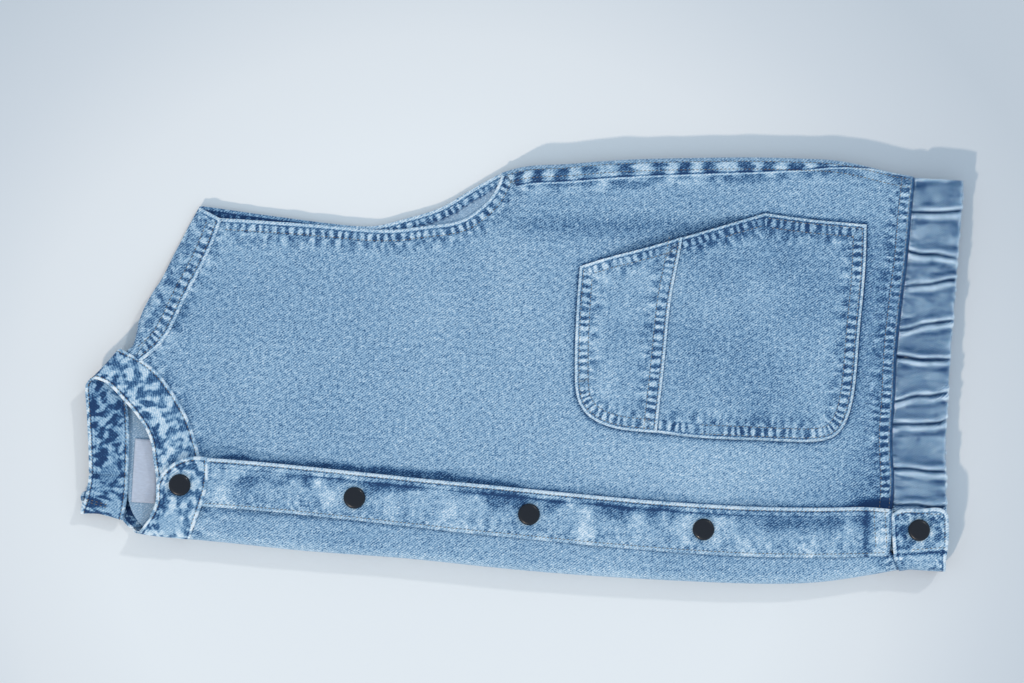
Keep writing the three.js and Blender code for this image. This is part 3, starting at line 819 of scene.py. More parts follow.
sideHem = [(0, -1), (0.10, 0.5), (0.17, 4), (0.26, 8), (0.40, 11), (0.7, 12.5), (1, 12.5)]
frontEdge = placketSide(86.5, 591, 14.8)
frontEnds = [tuple(frontEdge[0]), tuple(frontEdge[-1])]
neckToPlacket = [p for p in smock["neckSeam"] if p[1] > frontEnds[0][1] + 2] + [frontEnds[0]]
waistUp = [frontEnds[1]] + [p for p in smock["waistSeam"] if p[1] > frontEnds[1][1] + 4]
frontSides = [
    side(neckToPlacket, hem=1.0, mottle=0.55, pucker=0.3),
    side(frontEdge, hem=1.0, mottle=0.15, pucker=0.1),
    side(waistUp, hem=leftFront["waistHem"], mottle=0.9, pucker=0.5, wear=-1.1),
    side(smock["sideLine"][::-1], hem=sideHem, mottle=1.0, pucker=0.35, wear=0.1, ridge=1.0,
         pace=0.28),
    side(smock["frontArmhole"][::-1], hem=leftFront["armHem"], mottle=0.9, pucker=0.4, wear=0.9),
    side(smock["shoulderSeam"][::-1], hem=1.0, mottle=0.75, pucker=0.35),
]
ringsOutside = [beside(pocketRound, distance) for distance in (0.7, 1.9, 3.4, 5.2)]
leftFrontSheet, onFront = makeCloth("left_front_cloth", frontSides, frontSurface, washedDenim,
                                    leftFront, tint=frontTint, extra=(pocketRound, 6.5, ringsOutside))
finishSheet(leftFrontSheet, ["left_front_panel", "left_front_side", "left_side_seam"])


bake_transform(leftFrontSheet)
print("smock: left front sewn")


# the shoulder, where the back wraps over the front
shoulder = {"rise": 1.5, "roll": 9.0, "drop": 6.4, "hem": 10.0, "spacing": 1.6, "seed": 5}


def shoulderSurface(p):
    a, b = p[:, 0], p[:, 1]
    edge = np.interp(b, *np.array(smock["shoulderEdge"]).T[::-1])
    t = np.clip(1 - (a - edge) / shoulder["roll"], 0, 1)
    z = heights["front"] + shoulder["rise"] - shoulder["drop"] * (1 - np.sqrt(np.maximum(1 - t * t, 0)))
    return stack(a, b, z + 0.2 * rumple(a, b, 18, 21))


wrapInner = [(p[0] + 1.6, p[1] - 0.6) for p in smock["shoulderSeam"]]
shoulderSides = [
    side(wrapInner, hem=shoulder["hem"], mottle=0.85, pucker=0.35, wear=0.9, blotch=0.16),
    side([wrapInner[-1], smock["shoulderEdge"][-1]], hem=4, mottle=0.8, pucker=0.1, wear=0.8),
    side(smock["shoulderEdge"][::-1], hem=3, mottle=0.5, pucker=0.2, blotch=0.24),
    side([smock["shoulderEdge"][0], wrapInner[0]], butt=True),
]
shoulderWrap, onShoulder = makeCloth("left_shoulder_wrap", shoulderSides, shoulderSurface, washedDenim,
                                     shoulder)
finishSheet(shoulderWrap, ["left_shoulder_strip"], "upper_back")


# back, folded down its length
back = {"reach": 2.6, "pastFold": 4.0, "spacing": 3.4, "fine": 2.0, "border": 9, "seed": 7}
backTurn = sheetTurn(back["reach"], nodeBox("right_back_panel")[0][2], heights["leftBack"])


def backFold(a):
    return foldAt(a) + back["pastFold"]


def backSurface(p):
    b, z, under = rolled(p, backFold(p[:, 0]), backTurn)
    z = z + 0.12 * rumple(p[:, 0], p[:, 1], 30, 31) * (1 - under)
    return stack(p[:, 0], b, z)


def backArmholeShade(p, facts):
    # painted shade in the armhole opening: the back's hem and the gap beside it are darkened where they lie
    # in shadow
    return -0.40 * smooth(215, 150, p[:, 0]) * smooth(9, 7, facts["gap"]) * (p[:, 1] > 150) \
        - 0.30 * smooth(4.5, 8, facts["gap"]) * (p[:, 1] > 150) * smooth(12, 10, facts["gap"])


def turnedUnder(points, fold, table):  # places underneath, as places on the unrolled cloth
    points = np.asarray(points, float)
    start = fold(points[:, 0])
    return np.stack([points[:, 0], start - table[0][-1] - (points[:, 1] - start)], axis=1)


def nearer(points):  # the right half lies nearer the fold
    return [(a, b - smock["halfShift"]) for a, b in points]


backSides = [
    side([(28, 142.5), (31, 103), (34, 78), (34.5, 52), (35.5, 38), (38.5, 27), (44, 19), (50, 11),
          *turnedUnder([(46, 18), (40, 26), (34, 36), (28, 58.5)], backFold, backTurn)], butt=True),
    side(turnedUnder(nearer(smock["shoulderEdge"]), backFold, backTurn), butt=True),
    side(turnedUnder(nearer(smock["backArmhole"]), backFold, backTurn), hem=8.5, mottle=0.9, wear=1),
    side(turnedUnder(nearer(smock["sideLine"]), backFold, backTurn), hem=2, mottle=0.5),
    side([(592, 0), (592, 20), (592, 61), (591, 141), (591, 243), (593, 304)], butt=True),
    side(smock["sideLine"][::-1], hem=2, mottle=0.5),
    side(smock["backArmhole"][::-1], hem=8.0, mottle=0.9, pucker=0.3, wear=0.9),
    side(smock["shoulderEdge"][::-1], butt=True),
]
backSheet, _ = makeCloth("back_whole", backSides, backSurface, washedDenim, back, inner=0.0,
                         outer=1.0, tint=backArmholeShade)
roundBack = backTurn[0][-1]
backUpper, backRound, backLower = parted(backSheet, pastFold(backFold), [
    ("back_cloth", -1e9, -3), ("back_fold_cloth", -3, roundBack + 3),
    ("right_back_cloth", roundBack + 3, 1e9)])
finishSheet(backUpper, ["left_back_panel"], "upper_back")
finishSheet(backRound, ["back_fold_roll"])
finishSheet(backLower, ["right_back_panel"], "lower_half")
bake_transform(backRound)
print("smock: back sewn")


# right front, wrapped round the fold
wrap = {"reach": 6.0, "pastFold": 6.0, "sideRoll": 8.0, "sideDrop": 4.7, "spacing": 3.2, "fine": 1.8,
        "border": 11, "seed": 9}
frontTurn = sheetTurn(wrap["reach"], 0.0, heights["strip"])


def frontFold(a):
    return foldAt(a) + wrap["pastFold"]


def wrapSurface(p):
    a = p[:, 0]
    b, z, under = rolled(p, frontFold(a), frontTurn)
    top = 1 - smooth(0, 0.35, under)
    z = z + top * (0.45 * noise1(a / 34, 41) + 0.25 * noise1(a / 13, 42)) * smooth(-2, 10, b - foldAt(a))
    z = z - top * 0.5 * smooth(7, 0, placketLine(a, -15) - b)
    z = z + top * 0.7 * noise1((b + (a - 90) * 0.7) / 4.2, 43) * smooth(124, 94, a)
    rightSide = np.interp(a, sideFine[:, 0], sideFine[:, 1]) - smock["halfShift"]
    gap = np.where(a < 294, 99, rightSide - b)
    shoulderLine = np.array(nearer(smock["shoulderEdge"]))
    edge = np.interp(b, shoulderLine[:, 1], shoulderLine[:, 0])
    gap = np.minimum(gap, np.where((a < 110) & (b > 58), a - edge, 99))
    t = np.clip(1 - gap / wrap["sideRoll"], 0, 1)
    z = z + (under > 0.99) * wrap["sideDrop"] * (1 - np.sqrt(np.maximum(1 - t * t, 0)))
    return stack(a, b, z)


def stripTintAndShade(p, facts):
    a, b = p[:, 0], p[:, 1]
    # painted shading of the puckers by the collar tab, lighter where they rise and darker where they sink,
    # and painted shade where the strip goes under the placket
    puckerShading = noise1((b + (a - 90) * 0.7) / 4.2, 43) * smooth(120, 92, a) * smooth(-4, 6, b)
    return 0.04 * rumple(a, b, 40, 44) + 0.05 * smooth(10, 3, b - foldAt(a)) + 0.14 * puckerShading \
        - 0.16 * smooth(3.5, 0.5, placketLine(a, -17) - b)


def stripTop(start, end):
    a = np.linspace(start, end, 12)
    return np.stack([a, placketLine(a, -17.5) + 4], axis=1)


wrapSides = [
    side([stripTop(89, 591)[0], (87.5, 26), (84, 15), (81, 0),
          *turnedUnder([(77, 9), (74, 14), (62, 31), (47, 47), (38, 52.5)], frontFold, frontTurn)],
         hem=1, mottle=0.4, pucker=0.2),
    side(turnedUnder(nearer(smock["shoulderEdge"]), frontFold, frontTurn), hem=8, mottle=0.6),
    side(turnedUnder(nearer(smock["backArmhole"]), frontFold, frontTurn), hem=8.5, mottle=0.9, wear=1),
    side(turnedUnder(nearer(smock["sideLine"]), frontFold, frontTurn), hem=8.5, mottle=0.9),
    side([(592, -60), (597, -12), (600, 8), (597, 22), stripTop(89, 591)[-1]], hem=9, mottle=0.8,
         pucker=0.35, wear=-0.9),
    side(stripTop(89, 591)[::-1], butt=True),
]
rightSheet, _ = makeCloth("right_whole", wrapSides, wrapSurface, washedDenim, wrap, tint=stripTintAndShade)
roundFront = frontTurn[0][-1]
rightFront, rightUnder = parted(rightSheet, pastFold(frontFold), [
    ("right_front_cloth", -1e9, roundFront + 4), ("right_under_cloth", roundFront + 4, 1e9)])
finishSheet(rightFront, ["front_strip", "front_fold_roll"])
finishSheet(rightUnder, ["right_front_panel", "right_side_seam", "right_shoulder_strip"],
            "lower_half")
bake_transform(rightFront)
print("smock: right front sewn")


# placket that snaps shut
placket = {"top": heights["placket"] + 0.3, "halfWidth": 17.5, "hemFree": 6.0, "hemSewn": 4.5,
           "thickness": 1.7, "spacing": 1.7, "seed": 12}


def flapSurface(p):
    a, b = p[:, 0], p[:, 1]
    across = b - placketLine(a, 0)
    pressed = sum(np.exp(-((a - s[0]) / 26) ** 2) for s in snapPlaces)
    z = placket["top"] - 0.7 * pressed * smooth(18, 8, np.abs(across)) * 0.6
    z += 0.5 * noise1(a / 23, 51) * smooth(-10, 17, across) + 0.35 * noise2(a / 14, b / 12, 53)
    z += 1.5 * (1 - pressed) * (0.55 + 0.45 * noise1(a / 31, 15)) * smooth(4, 18, across)
    z -= 1.0 * smooth(5, 0, across + placket["halfWidth"])
    return stack(a, b, z)


def flapTint(p, facts):
    a, b = p[:, 0], p[:, 1]
    across = b - placketLine(a, 0)
    clouds = rumple(a, b, 21, 57)
    smudge = -0.30 * smooth(-0.05, 0.6, clouds) * np.exp(-((across - 7) / 6) ** 2)
    streak = across - 11.6 - 0.8 * noise1(a / 17, 55)
    smudge -= 0.46 * np.exp(-(streak / (1.5 + 0.7 * noise1(a / 11, 54))) ** 2) \
        * smooth(130, 190, a) * smooth(500, 440, a) * smooth(-0.9, -0.1, noise1(a / 26, 56))
    smudge -= 0.34 * np.exp(-((a - 573 + 0.06 * across) / 2.2) ** 2)
    smudge += 0.16 * np.exp(-((a - 583) / 4) ** 2)
    rubbed = 0.17 * smooth(0.15, 0.65, rumple(a, b, 15, 58))
    return 0.02 + smudge + rubbed + 0.07 * noise2(a / 7, b / 15, 59)


freeEdge = placketSide(92, 590, placket["halfWidth"], 26)
freeEdge[:, 1] += 2.6 * smooth(260, 92, freeEdge[:, 0]) - 2.2 * smooth(574, 588, freeEdge[:, 0])
sewnEdge = placketSide(90, 590, -placket["halfWidth"], 12)
sewnEdge[:, 1] += 3.4 * smooth(300, 90, sewnEdge[:, 0])
flapSides = [
    side(sewnEdge, hem=placket["hemSewn"], mottle=0.55, pucker=0.25, wear=0.12),
    side([(591, 45), freeEdge[-1]], hem=8, mottle=0.7, pucker=0.3, wear=-0.8),
    side(freeEdge[::-1], hem=placket["hemFree"], mottle=0.28, pucker=0.3, wear=1.1),
    side([(92.5, 52), (91, 41), sewnEdge[0]], hem=1, mottle=0.4),
]
flap, onFlap = makeCloth("outer_placket_cloth", flapSides, flapSurface, washedDenim, placket,
                         tint=flapTint)
finishSheet(flap, ["outer_placket"])
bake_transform(flap)
print("smock: placket sewn")


# collar tab, and the turn below it
def tabSurface(p):
    a, b = p[:, 0], p[:, 1]
    z = placket["top"] + 0.7 + 0.4 * rumple(a, b, 13, 61)
    drop = np.clip(1 - (b - foldAt(a)) / 17.0, 0, 1)
    z -= 3.4 * drop ** 1.6
    near = np.hypot(a - firstSnap[0], b - firstSnap[1])
    return stack(a, b, z - 0.5 * smooth(15, 7, near))


def collarTint(p, facts):
    return 0.05 + 0.05 * rumple(p[:, 0], p[:, 1], 22, 63)


tab = {
    "seam": [(85.5, 18), (89.5, 32), (92.5, 44), (93.5, 56), (92.5, 68.6)],
    "edge": [(83, 68.5), (72, 65), (64, 59), (59, 52), (57.5, 44), (58, 38), (57, 31), (53.5, 23)],
    "thickness": 1.8,
    "spacing": 1.5,
    "seed": 14,
}
collarLook = {"hem": 5.0, "mottle": 0.30, "pucker": 0.3, "wear": 1.1, "blotch": 0.56}
seamLook = {"hem": 4.0, "mottle": 0.25, "pucker": 0.3, "wear": 0.8, "blotch": 0.50}
tabSides = [
    side(tab["seam"], **seamLook),
    side(tab["edge"], **collarLook),
    side([(70, 20), (85.5, 18)], butt=True),
]
collarTab, onTab = makeCloth("collar_tab_cloth", tabSides, tabSurface, collarDenim, tab,
                             tint=collarTint)
finishSheet(collarTab, ["collar_tab"])
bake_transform(collarTab)

# the strip that goes on from the tab round the fold
tabStrip = {"reach": 5.0, "pastFold": 5.0, "top": 19.4, "thickness": 1.6, "spacing": 1.6, "seed": 15}
collarFoldTurn = sheetTurn(tabStrip["reach"], 0.0, tabStrip["top"])


def collarFold(a):
    return foldAt(a) + tabStrip["pastFold"]


def turnSurface(p):
    a = p[:, 0]
    b, z, under = rolled(p, collarFold(a), collarFoldTurn)
    flat = tabSurface(np.stack([a, np.maximum(b, foldAt(a))], axis=1))[:, 2]
    top = 1 - smooth(0, 0.25, under)
    return stack(a, b, z + (flat - tabStrip["top"]) * top)


turnSides = [
    side([(85.5, 18), (83.5, 9), (81, 0),
          *turnedUnder([(78, 11), (75, 15)], collarFold, collarFoldTurn)], **seamLook),
    side(turnedUnder([(38.5, 16.5)], collarFold, collarFoldTurn), butt=True),
    side([(38.5, -7), (42, 1), (47.5, 13), (53.5, 23)], **collarLook),
    side([(70, 20), (85.5, 18)], butt=True),
]
collarRound, _ = makeCloth("collar_turn_cloth", turnSides, turnSurface, collarDenim,
                           tabStrip, tint=collarTint)
finishSheet(collarRound, ["collar_strip", "collar_fold_roll"])
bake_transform(collarRound)


# bands made between two rails
def bandBetween(band):  # a surface between the seam and the free edge, and its size laid flat
    seam, top = spline(band["seam"], 2.0), spline(band["top"], 2.0)
    count = max(len(seam), len(top))
    parts = np.linspace(0, 1, count)

    def shared(rail):  # the same number of points on both rails
        share = lengths(rail) / lengths(rail)[-1]
        return np.stack([np.interp(parts, share, rail[:, k]) for k in range(3)], 1)

    seam, top = shared(seam), shared(top)
    middle = lengths((seam + top) / 2)
    width = np.linalg.norm(top - seam, axis=1)

    def surface(p):
        u = p[:, 0]
        w = np.interp(u, middle, width)
        t = (p[:, 1] / w)[:, None]
        s = np.stack([np.interp(u, middle, seam[:, k]) for k in range(3)], 1)
        e = np.stack([np.interp(u, middle, top[:, k]) for k in range(3)], 1)
        here = s * (1 - t) + e * t
        here[:, 2] += band["crown"] * 4 * (t * (1 - t))[:, 0] * smooth(14, 16, here[:, 2])
        return here + [low[0], low[1], 0]
    turning = (np.maximum(seam[:, 2], top[:, 2]) > 11.35) & (np.minimum(seam[:, 2], top[:, 2]) < 15.8)
    return surface, middle[-1], np.stack([middle, width], 1), middle[turning]


def bandSides(long, widths, seamMarks, topMarks, endMarks=None):
    end = endMarks or {"butt": True}
    return [
        side([(0, 0), (long / 2, 0), (long, 0)], **seamMarks),
        side([(long, widths[-1, 1])], **end),
        side(widths[::-1][::6].tolist() + [(0, widths[0, 1])], **topMarks),
        side([(0, 0)], **end),
    ]


collarBand = {
    "seam": [(34.5, 52, 10.7), (33.8, 78, 10.9), (31, 103, 11.0), (25.5, 128, 11.0),
             (22.5, 140, 11.6), (22.3, 143.5, 13.6), (25.5, 142.8, 15.9), (38, 137.3, 16.8),
             (48, 131.3, 16.9), (63, 115.5, 16.9), (75.3, 97.3, 16.9), (82.3, 81, 16.9),
             (85.8, 70, 16.9), (88.2, 56, 16.8), (88, 38, 16.6)],
    "top": [(6.8, 52, 10.7), (5.5, 70, 10.9), (3.2, 91, 11.0), (1.0, 108, 11.1),
            (0.3, 115, 12.2), (2.2, 119.6, 14.0), (7, 121.4, 15.9), (14, 119.6, 16.5),
            (26, 110, 16.5), (38, 98, 16.5), (47, 86, 16.5), (51.5, 76, 16.4), (53.8, 63, 16.4),
            (56, 54, 16.4), (57, 38, 16.4)],
    "crown": 0.5,
    "thickness": 1.5,
    "spacing": 1.6,
    "seed": 17,
}
collarSurface, collarLong, collarWidths, collarBend = bandBetween(collarBand)


def bandTintAndShade(p, facts):
    # painted shade: the collar's back part, and the back and right collars whole, are darker as they lie low
    # in shadow
    lower = smooth(100, 70, p[:, 0]) if len(p) and p[:, 0].max() > 120 else np.ones(len(p))
    return 0.05 + 0.06 * rumple(p[:, 0] + 200, p[:, 1], 20, 66) - 0.22 * lower


wholeCollar, onLeftCollar = makeCloth(
    "collar_whole", bandSides(collarLong, collarWidths, seamLook, collarLook), collarSurface,
    collarDenim, collarBand, flip=True, inner=0.0, tint=bandTintAndShade)
collarParts = [(-1e9, collarBend[0]), (collarBend[0], collarBend[-1]), (collarBend[-1], 1e9)]
collarBack, collarTurn, leftCollar = parted(wholeCollar, lambda p: p[:, 0], [
    (name, *ends) for name, ends in zip(("collar_back_cloth", "collar_corner_cloth", "left_collar_cloth"),
                                        collarParts)])
finishSheet(collarBack, ["back_collar_outer"], "upper_back")
finishSheet(collarTurn, ["collar_turn"])
finishSheet(leftCollar, ["left_collar_outer", "left_collar_inner"],
            "left_front")
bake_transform(collarTurn)
print("smock: left collar sewn")


backBand = {
    "seam": [(34.5, 52, 11.3), (34.5, 38, 11.3), (33.5, 27, 11.2), (32.5, 21, 10.3),
             (32, 18.5, 7.9), (32.5, 21, 5.4), (33, 30, 4.5), (34, 38, 4.4)],
    "top": [(6.8, 52, 10.7), (6, 40, 10.8), (3.5, 28, 10.8), (2.5, 23.5, 10), (2, 21.5, 7.8),
            (2.2, 23, 5.4), (2.3, 27, 4.5), (2.5, 30, 4.4)],
    "crown": 0.2,
    "thickness": 1.7,
    "spacing": 1.6,
    "seed": 19,
}
backSurfaceBand, backLong, backWidths, _ = bandBetween(backBand)
backCollar, onBackCollar = makeCloth(
    "back_collar_cloth", bandSides(backLong, backWidths, seamLook, collarLook), backSurfaceBand,
    backCollarDenim, backBand, flip=True, inner=0.0, tint=bandTintAndShade)
finishSheet(backCollar, ["back_collar_inner"])
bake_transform(backCollar)

rightBand = {
    "seam": [(34, 38, 6.1), (31, 46, 6.0), (26, 53, 5.8), (23, 57.5, 4.6), (22.5, 60, 2.8),
             (25.5, 59.5, 0.9), (38, 53.5, 0.3), (48, 47.5, 0.25), (63, 32, 0.25), (72, 18, 0.25)],
    "top": [(2.5, 30, 6.1), (1.2, 34, 5.2), (0.4, 36.5, 3), (3, 37.8, 1), (14, 34.5, 0.6),
            (23, 28, 0.8), (29.5, 22.5, 1.2), (34, 17, 1.8), (38.5, 13.5, 2.4)],
    "crown": 0.0,
    "thickness": 1.6,
    "spacing": 1.8,
    "seed": 20,
}
rightSurface, rightLong, rightWidths, _ = bandBetween(rightBand)
rightCollar, _ = makeCloth(
    "right_collar_cloth", bandSides(rightLong, rightWidths, seamLook, collarLook), rightSurface,
    collarDenim, rightBand, inner=0.0, tint=bandTintAndShade)
finishSheet(rightCollar, ["right_collar", "right_back_collar"],
            "lower_half")
print("smock: collars sewn")


neckLabel = {"rise": 0.95, "arch": 0.35, "thickness": 0.5, "spacing": 2.0}


def labelSurface(p):
    a, b = p[:, 0], p[:, 1]
    arch = np.sin((b - 33) / 46 * math.pi)
    z = heights["leftBack"] + neckLabel["rise"] + neckLabel["arch"] * arch + 0.12 * noise1(b / 9, 71)
    return stack(a, b, z)


labelBox = [corner - low for corner in nodeBox("neck_label")]
labelCorners = [(labelBox[0][0], labelBox[0][1]), (labelBox[1][0], labelBox[0][1]),
                (labelBox[1][0], labelBox[1][1]), (labelBox[0][0], labelBox[1][1])]
label, _ = makeCloth("neck_label_cloth", [side([corner]) for corner in labelCorners],
                           labelSurface, paleRibbon, neckLabel)
finishSheet(label, ["neck_label"], "upper_back")


# waist tab and the turn of the waistband
waistTab = {"top": heights["placket"] + 0.9, "step": 31.5, "stepHeight": 1.5, "end": 631.5,
            "thickness": 1.9, "spacing": 1.5, "seed": 22}
bandStop = waistTab["end"]


def stepAt(a):  # the tab's lower edge rises towards its end
    return waistTab["step"] + 3.0 * smooth(602, 632, a) - 1.5 * smooth(604, 594, a)


def waistTabSurface(p):
    a, b = p[:, 0], p[:, 1]
    lowered = smooth(stepAt(a) + 0.7, stepAt(a) - 0.7, b)
    z = waistTab["top"] - waistTab["stepHeight"] * lowered
    z += 0.5 * noise2(a / 11, b / 9, 74) * (1 - lowered * 0.3)
    near = np.hypot(a - lastSnap[0], b - lastSnap[1])
    return stack(a, b, z - 0.5 * smooth(15, 7, near) - 0.8 * smooth(4, 0, a - 590))


def waistTabShadeAndWear(p, facts):
    step = p[:, 1] - stepAt(p[:, 0])
    # painted shadow just under the tab's lower edge, a pale worn lip along the edge, and a paler band
    # further below
    return 0.07 * rumple(p[:, 0], p[:, 1], 15, 76) - 0.55 * np.exp(-((step + 1.3) / 1.0) ** 2) \
        + 0.20 * np.exp(-((step - 0.9) / 0.9) ** 2) + 0.16 * np.exp(-((step + 4.5) / 1.6) ** 2)


waistLook = {"hem": 4.5, "mottle": 0.8, "pucker": 0.3, "wear": 1.0, "blotch": 0.34}
waistTabSides = [
    side([(595.5, 24), (bandStop, 25.5)], butt=True),
    side([(bandStop + 0.8, 44), (bandStop - 0.5, 60)], **waistLook),
    side([(bandStop - 2.5, 62.3), (610, 62.4), (597, 61.4), (591, 58.0)], **waistLook),
    side([(592.3, 44), (595.5, 24)], **waistLook),
]
waistTabCloth, onWaistTab = makeCloth("waist_tab_cloth", waistTabSides, waistTabSurface, washedDenim,
                                      waistTab, tint=waistTabShadeAndWear)
finishSheet(waistTabCloth, ["waist_tab"])
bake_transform(waistTabCloth)

waistRoll = {"reach": 6.0, "pastFold": 5.0, "gather": 0.8, "thickness": 1.8, "spacing": 1.4, "seed": 24}
waistTurn = sheetTurn(waistRoll["reach"], 0.0, waistTab["top"] - waistTab["stepHeight"])


def waistFold(a):
    return np.minimum(foldAt(a), 27) + waistRoll["pastFold"]


def waistTurnSurface(p):
    a = p[:, 0]
    b, z, under = rolled(p, np.minimum(waistFold(a), 24.2), waistTurn)
    gather = noise1(p[:, 1] / 4.6 + 0.05 * a, 81) * waistRoll["gather"]
    return stack(a + 0.9 * noise1(p[:, 1] / 5.5, 83) * smooth(600, 632, a), b,
                 z + gather * (1 - smooth(0, 0.6, under)) * smooth(588, 598, a) * 0.8)


def gatherTint(p, facts):
    gather = noise1(p[:, 1] / 4.6 + 0.05 * p[:, 0], 81)
    return -0.07 + 0.16 * gather + 0.05 * rumple(p[:, 0], p[:, 1], 12, 84)


waistTurnSides = [
    side([(595.5, 25), (bandStop, 25.5)], butt=True),
    side([(bandStop + 1.2, 10), (bandStop + 0.5, -12)], **waistLook),
    side([(610, -12), (598, -12)], butt=True),
    side([(600.5, 9), (595.5, 25)], hem=2, mottle=0.7, pucker=0.3),
]
waistTurnCloth, _ = makeCloth("waistband_turn_cloth", waistTurnSides, waistTurnSurface,
                                        washedDenim, waistRoll, tint=gatherTint)
finishSheet(waistTurnCloth, ["waistband_strip", "waistband_fold_roll"])
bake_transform(waistTurnCloth)


# gathered waistbands
gathers = {
    "deep": 40,  # millimetres from the waist seam to the outer edge, lying flat
    "columns": 30,
    "slack": 1.25,  # cloth to each millimetre of band, for the weave
    "cutLonger": 1.2,
    "cutDeep": 42,
    "creaseHalf": 0.8,
    "firstCrease": (5, 9),
    "slant": (-0.16, 0.22),
    "strength": (0.55, 1.0),
    "fading": (-0.7, 0.7),
}


def gatheredBand(name, bRange, outer, topZ, bottomZ, seed, body, nodes, down=False, fine=0.75,
                 deep=2.6, spacing=(18, 34)):

    # where the creases run, and how strong each is
    rng = np.random.default_rng(seed)
    creases = [bRange[0] + rng.uniform(*gathers["firstCrease"])]
    while creases[-1] < bRange[1] - 8:
        creases.append(creases[-1] + rng.uniform(*spacing))
    creases = np.array([bRange[0] - 9] + creases + [bRange[1] + 12])
    slant = rng.uniform(*gathers["slant"], len(creases))
    strength = rng.uniform(*gathers["strength"], len(creases))
    fadeAway = rng.uniform(*gathers["fading"], len(creases))
    rows = int((bRange[1] - bRange[0]) / fine) + 1
    columns = gathers["columns"]
    b = np.linspace(*bRange, rows)[:, None] * np.ones((1, columns))
    v = np.linspace(0, 1, columns)[None, :] * np.ones((rows, 1))
    v = 0.5 - 0.5 * np.cos(v * math.pi) * (0.35 + 0.65 * np.abs(np.cos(v * math.pi)))
    width = outer(b) - waistAt(b)
    a = v * gathers["deep"]
    nearest = np.full(b.shape, 99.0)
    sideOf = np.zeros(b.shape)
    power = np.zeros(b.shape)
    for c, s, p, f in zip(creases, slant, strength, fadeAway):
        centre = c + s * (a - 20) + 1.3 * noise1(a / 13 + c, seed)
        away = b - centre
        closer = np.abs(away) < nearest
        nearest = np.where(closer, np.abs(away), nearest)
        sideOf = np.where(closer, np.sign(away), sideOf)
        power = np.where(closer, p * (1 + f * (v - 0.5)), power)

    # a groove at each crease and a ridge beside it
    ridge = np.where(sideOf > 0, 2.3, 3.6)
    shape = -deep * np.exp(-(nearest / gathers["creaseHalf"]) ** 2) \
        + 1.9 * np.exp(-((nearest - ridge) / 2.0) ** 2) * np.where(sideOf > 0, 1.15, 0.75) \
        - 0.9 * smooth(4, 9, nearest)
    shape = shape * power + 0.4 * noise2(a / 13, b / 8, seed + 2) + 0.2 * noise2(a / 5, b / 4, seed + 3)
    ends = 0.8 * smooth(0.30, 0.05, v) + 0.9 * smooth(0.72, 0.97, v)
    small = noise1((b + 0.10 * a) / 2.9, seed + 4)
    shape += small * ends

    # the casing, rounded at its edges and at its end
    rim = np.sqrt(np.clip(1 - ((v - 0.5) / 0.5) ** 6, 0, 1))
    middle = (topZ + bottomZ) / 2
    half = (topZ - bottomZ) / 2
    endRound = np.clip((bRange[1] - b) / 5, 0, 1)
    endRound = np.sqrt(1 - (1 - endRound) ** 2)
    endRound = 0.25 + 0.75 * endRound
    bend = shape * np.clip(rim * 1.4, 0, 1) * endRound
    upper = middle + half * rim * endRound + bend * (0.15 if down else 1)
    lower = middle - half * rim * endRound
    if down:
        lower = np.maximum(lower - np.minimum(bend, 0) * 0.7, bottomZ)
    flare = shape * 0.55 * smooth(0.6, 1.0, v) * power
    x = waistAt(b) + v * (width + flare)
    top = np.stack([x + low[0], b + low[1], upper], 2).reshape(-1, 3)
    under = np.stack([x + low[0], b + low[1], lower], 2).reshape(-1, 3)
    count = rows * columns
    index = np.arange(count).reshape(rows, columns)
    rimIndex = np.concatenate([index[0, :-1], index[:-1, -1], index[-1, :0:-1], index[:0:-1, 0]])
    quads = np.stack([index[:-1, :-1], index[:-1, 1:], index[1:, 1:], index[1:, :-1]], 2).reshape(-1, 4)
    faces = quads.tolist() + (quads[:, ::-1] + count).tolist()
    for i, j in zip(rimIndex.tolist(), np.roll(rimIndex, -1).tolist()):
        faces.append([j, i, i + count, j + count])
    thing = meshObject(name, np.concatenate([top, under]), faces, bandDenim)
    mesh = thing.data

    def both(values):
        return np.concatenate([values, values])

    flatUv = np.stack([a.ravel(), (b * gathers["slack"]).ravel()], 1)
    gap = np.minimum(v, 1 - v) * gathers["deep"]
    writeUv(mesh, "cloth", both(flatUv))
    writeUv(mesh, "edge", both(np.stack([b.ravel() * gathers["slack"], gap.ravel()], 1)))

    # pale ridges, dark grooves and pleat hollows that are partly painted shade, and painted shade beyond the
    # ridges
    wash = 1 + 0.5 * noise2(a / 7, b / 5, seed + 9)
    fadeAndShade = 0.42 * np.exp(-((nearest - ridge) / 1.4) ** 2) * power * wash \
        - 0.80 * np.exp(-(nearest / 0.9) ** 2) * power \
        - 0.30 * np.exp(-((nearest - ridge - 3.6) / 1.9) ** 2) * smooth(0.02, 0.2, v) * wash \
        - 0.13 * smooth(6, 9, nearest)
    fadeAndShade += 0.15 * noise2(a / 9, b / 7, seed + 7) + 0.12 * smooth(0.86, 1.0, v) + 0.26 * small * ends
    fadeAndShade -= 0.45 * smooth(0.035, 0.0, v)
    writeValue(mesh, "fadeAndShade", both(fadeAndShade.ravel()))
    for key, value in (("hem", 3.0), ("mottle", 0.3), ("wear", 0.4), ("blotch", 0.06), ("inside", 0.0),
                       ("ridge", 0.0)):
        writeValue(mesh, key, np.full(2 * count, value))
    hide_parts(*nodes)
    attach(thing, body)


def outerLine(b):
    return np.interp(b, [20, 42, 71, 100, 129, 187, 246, 299, 304],
                     [634, 632, 630.5, 628, 627, 627, 628, 629, 628.5])


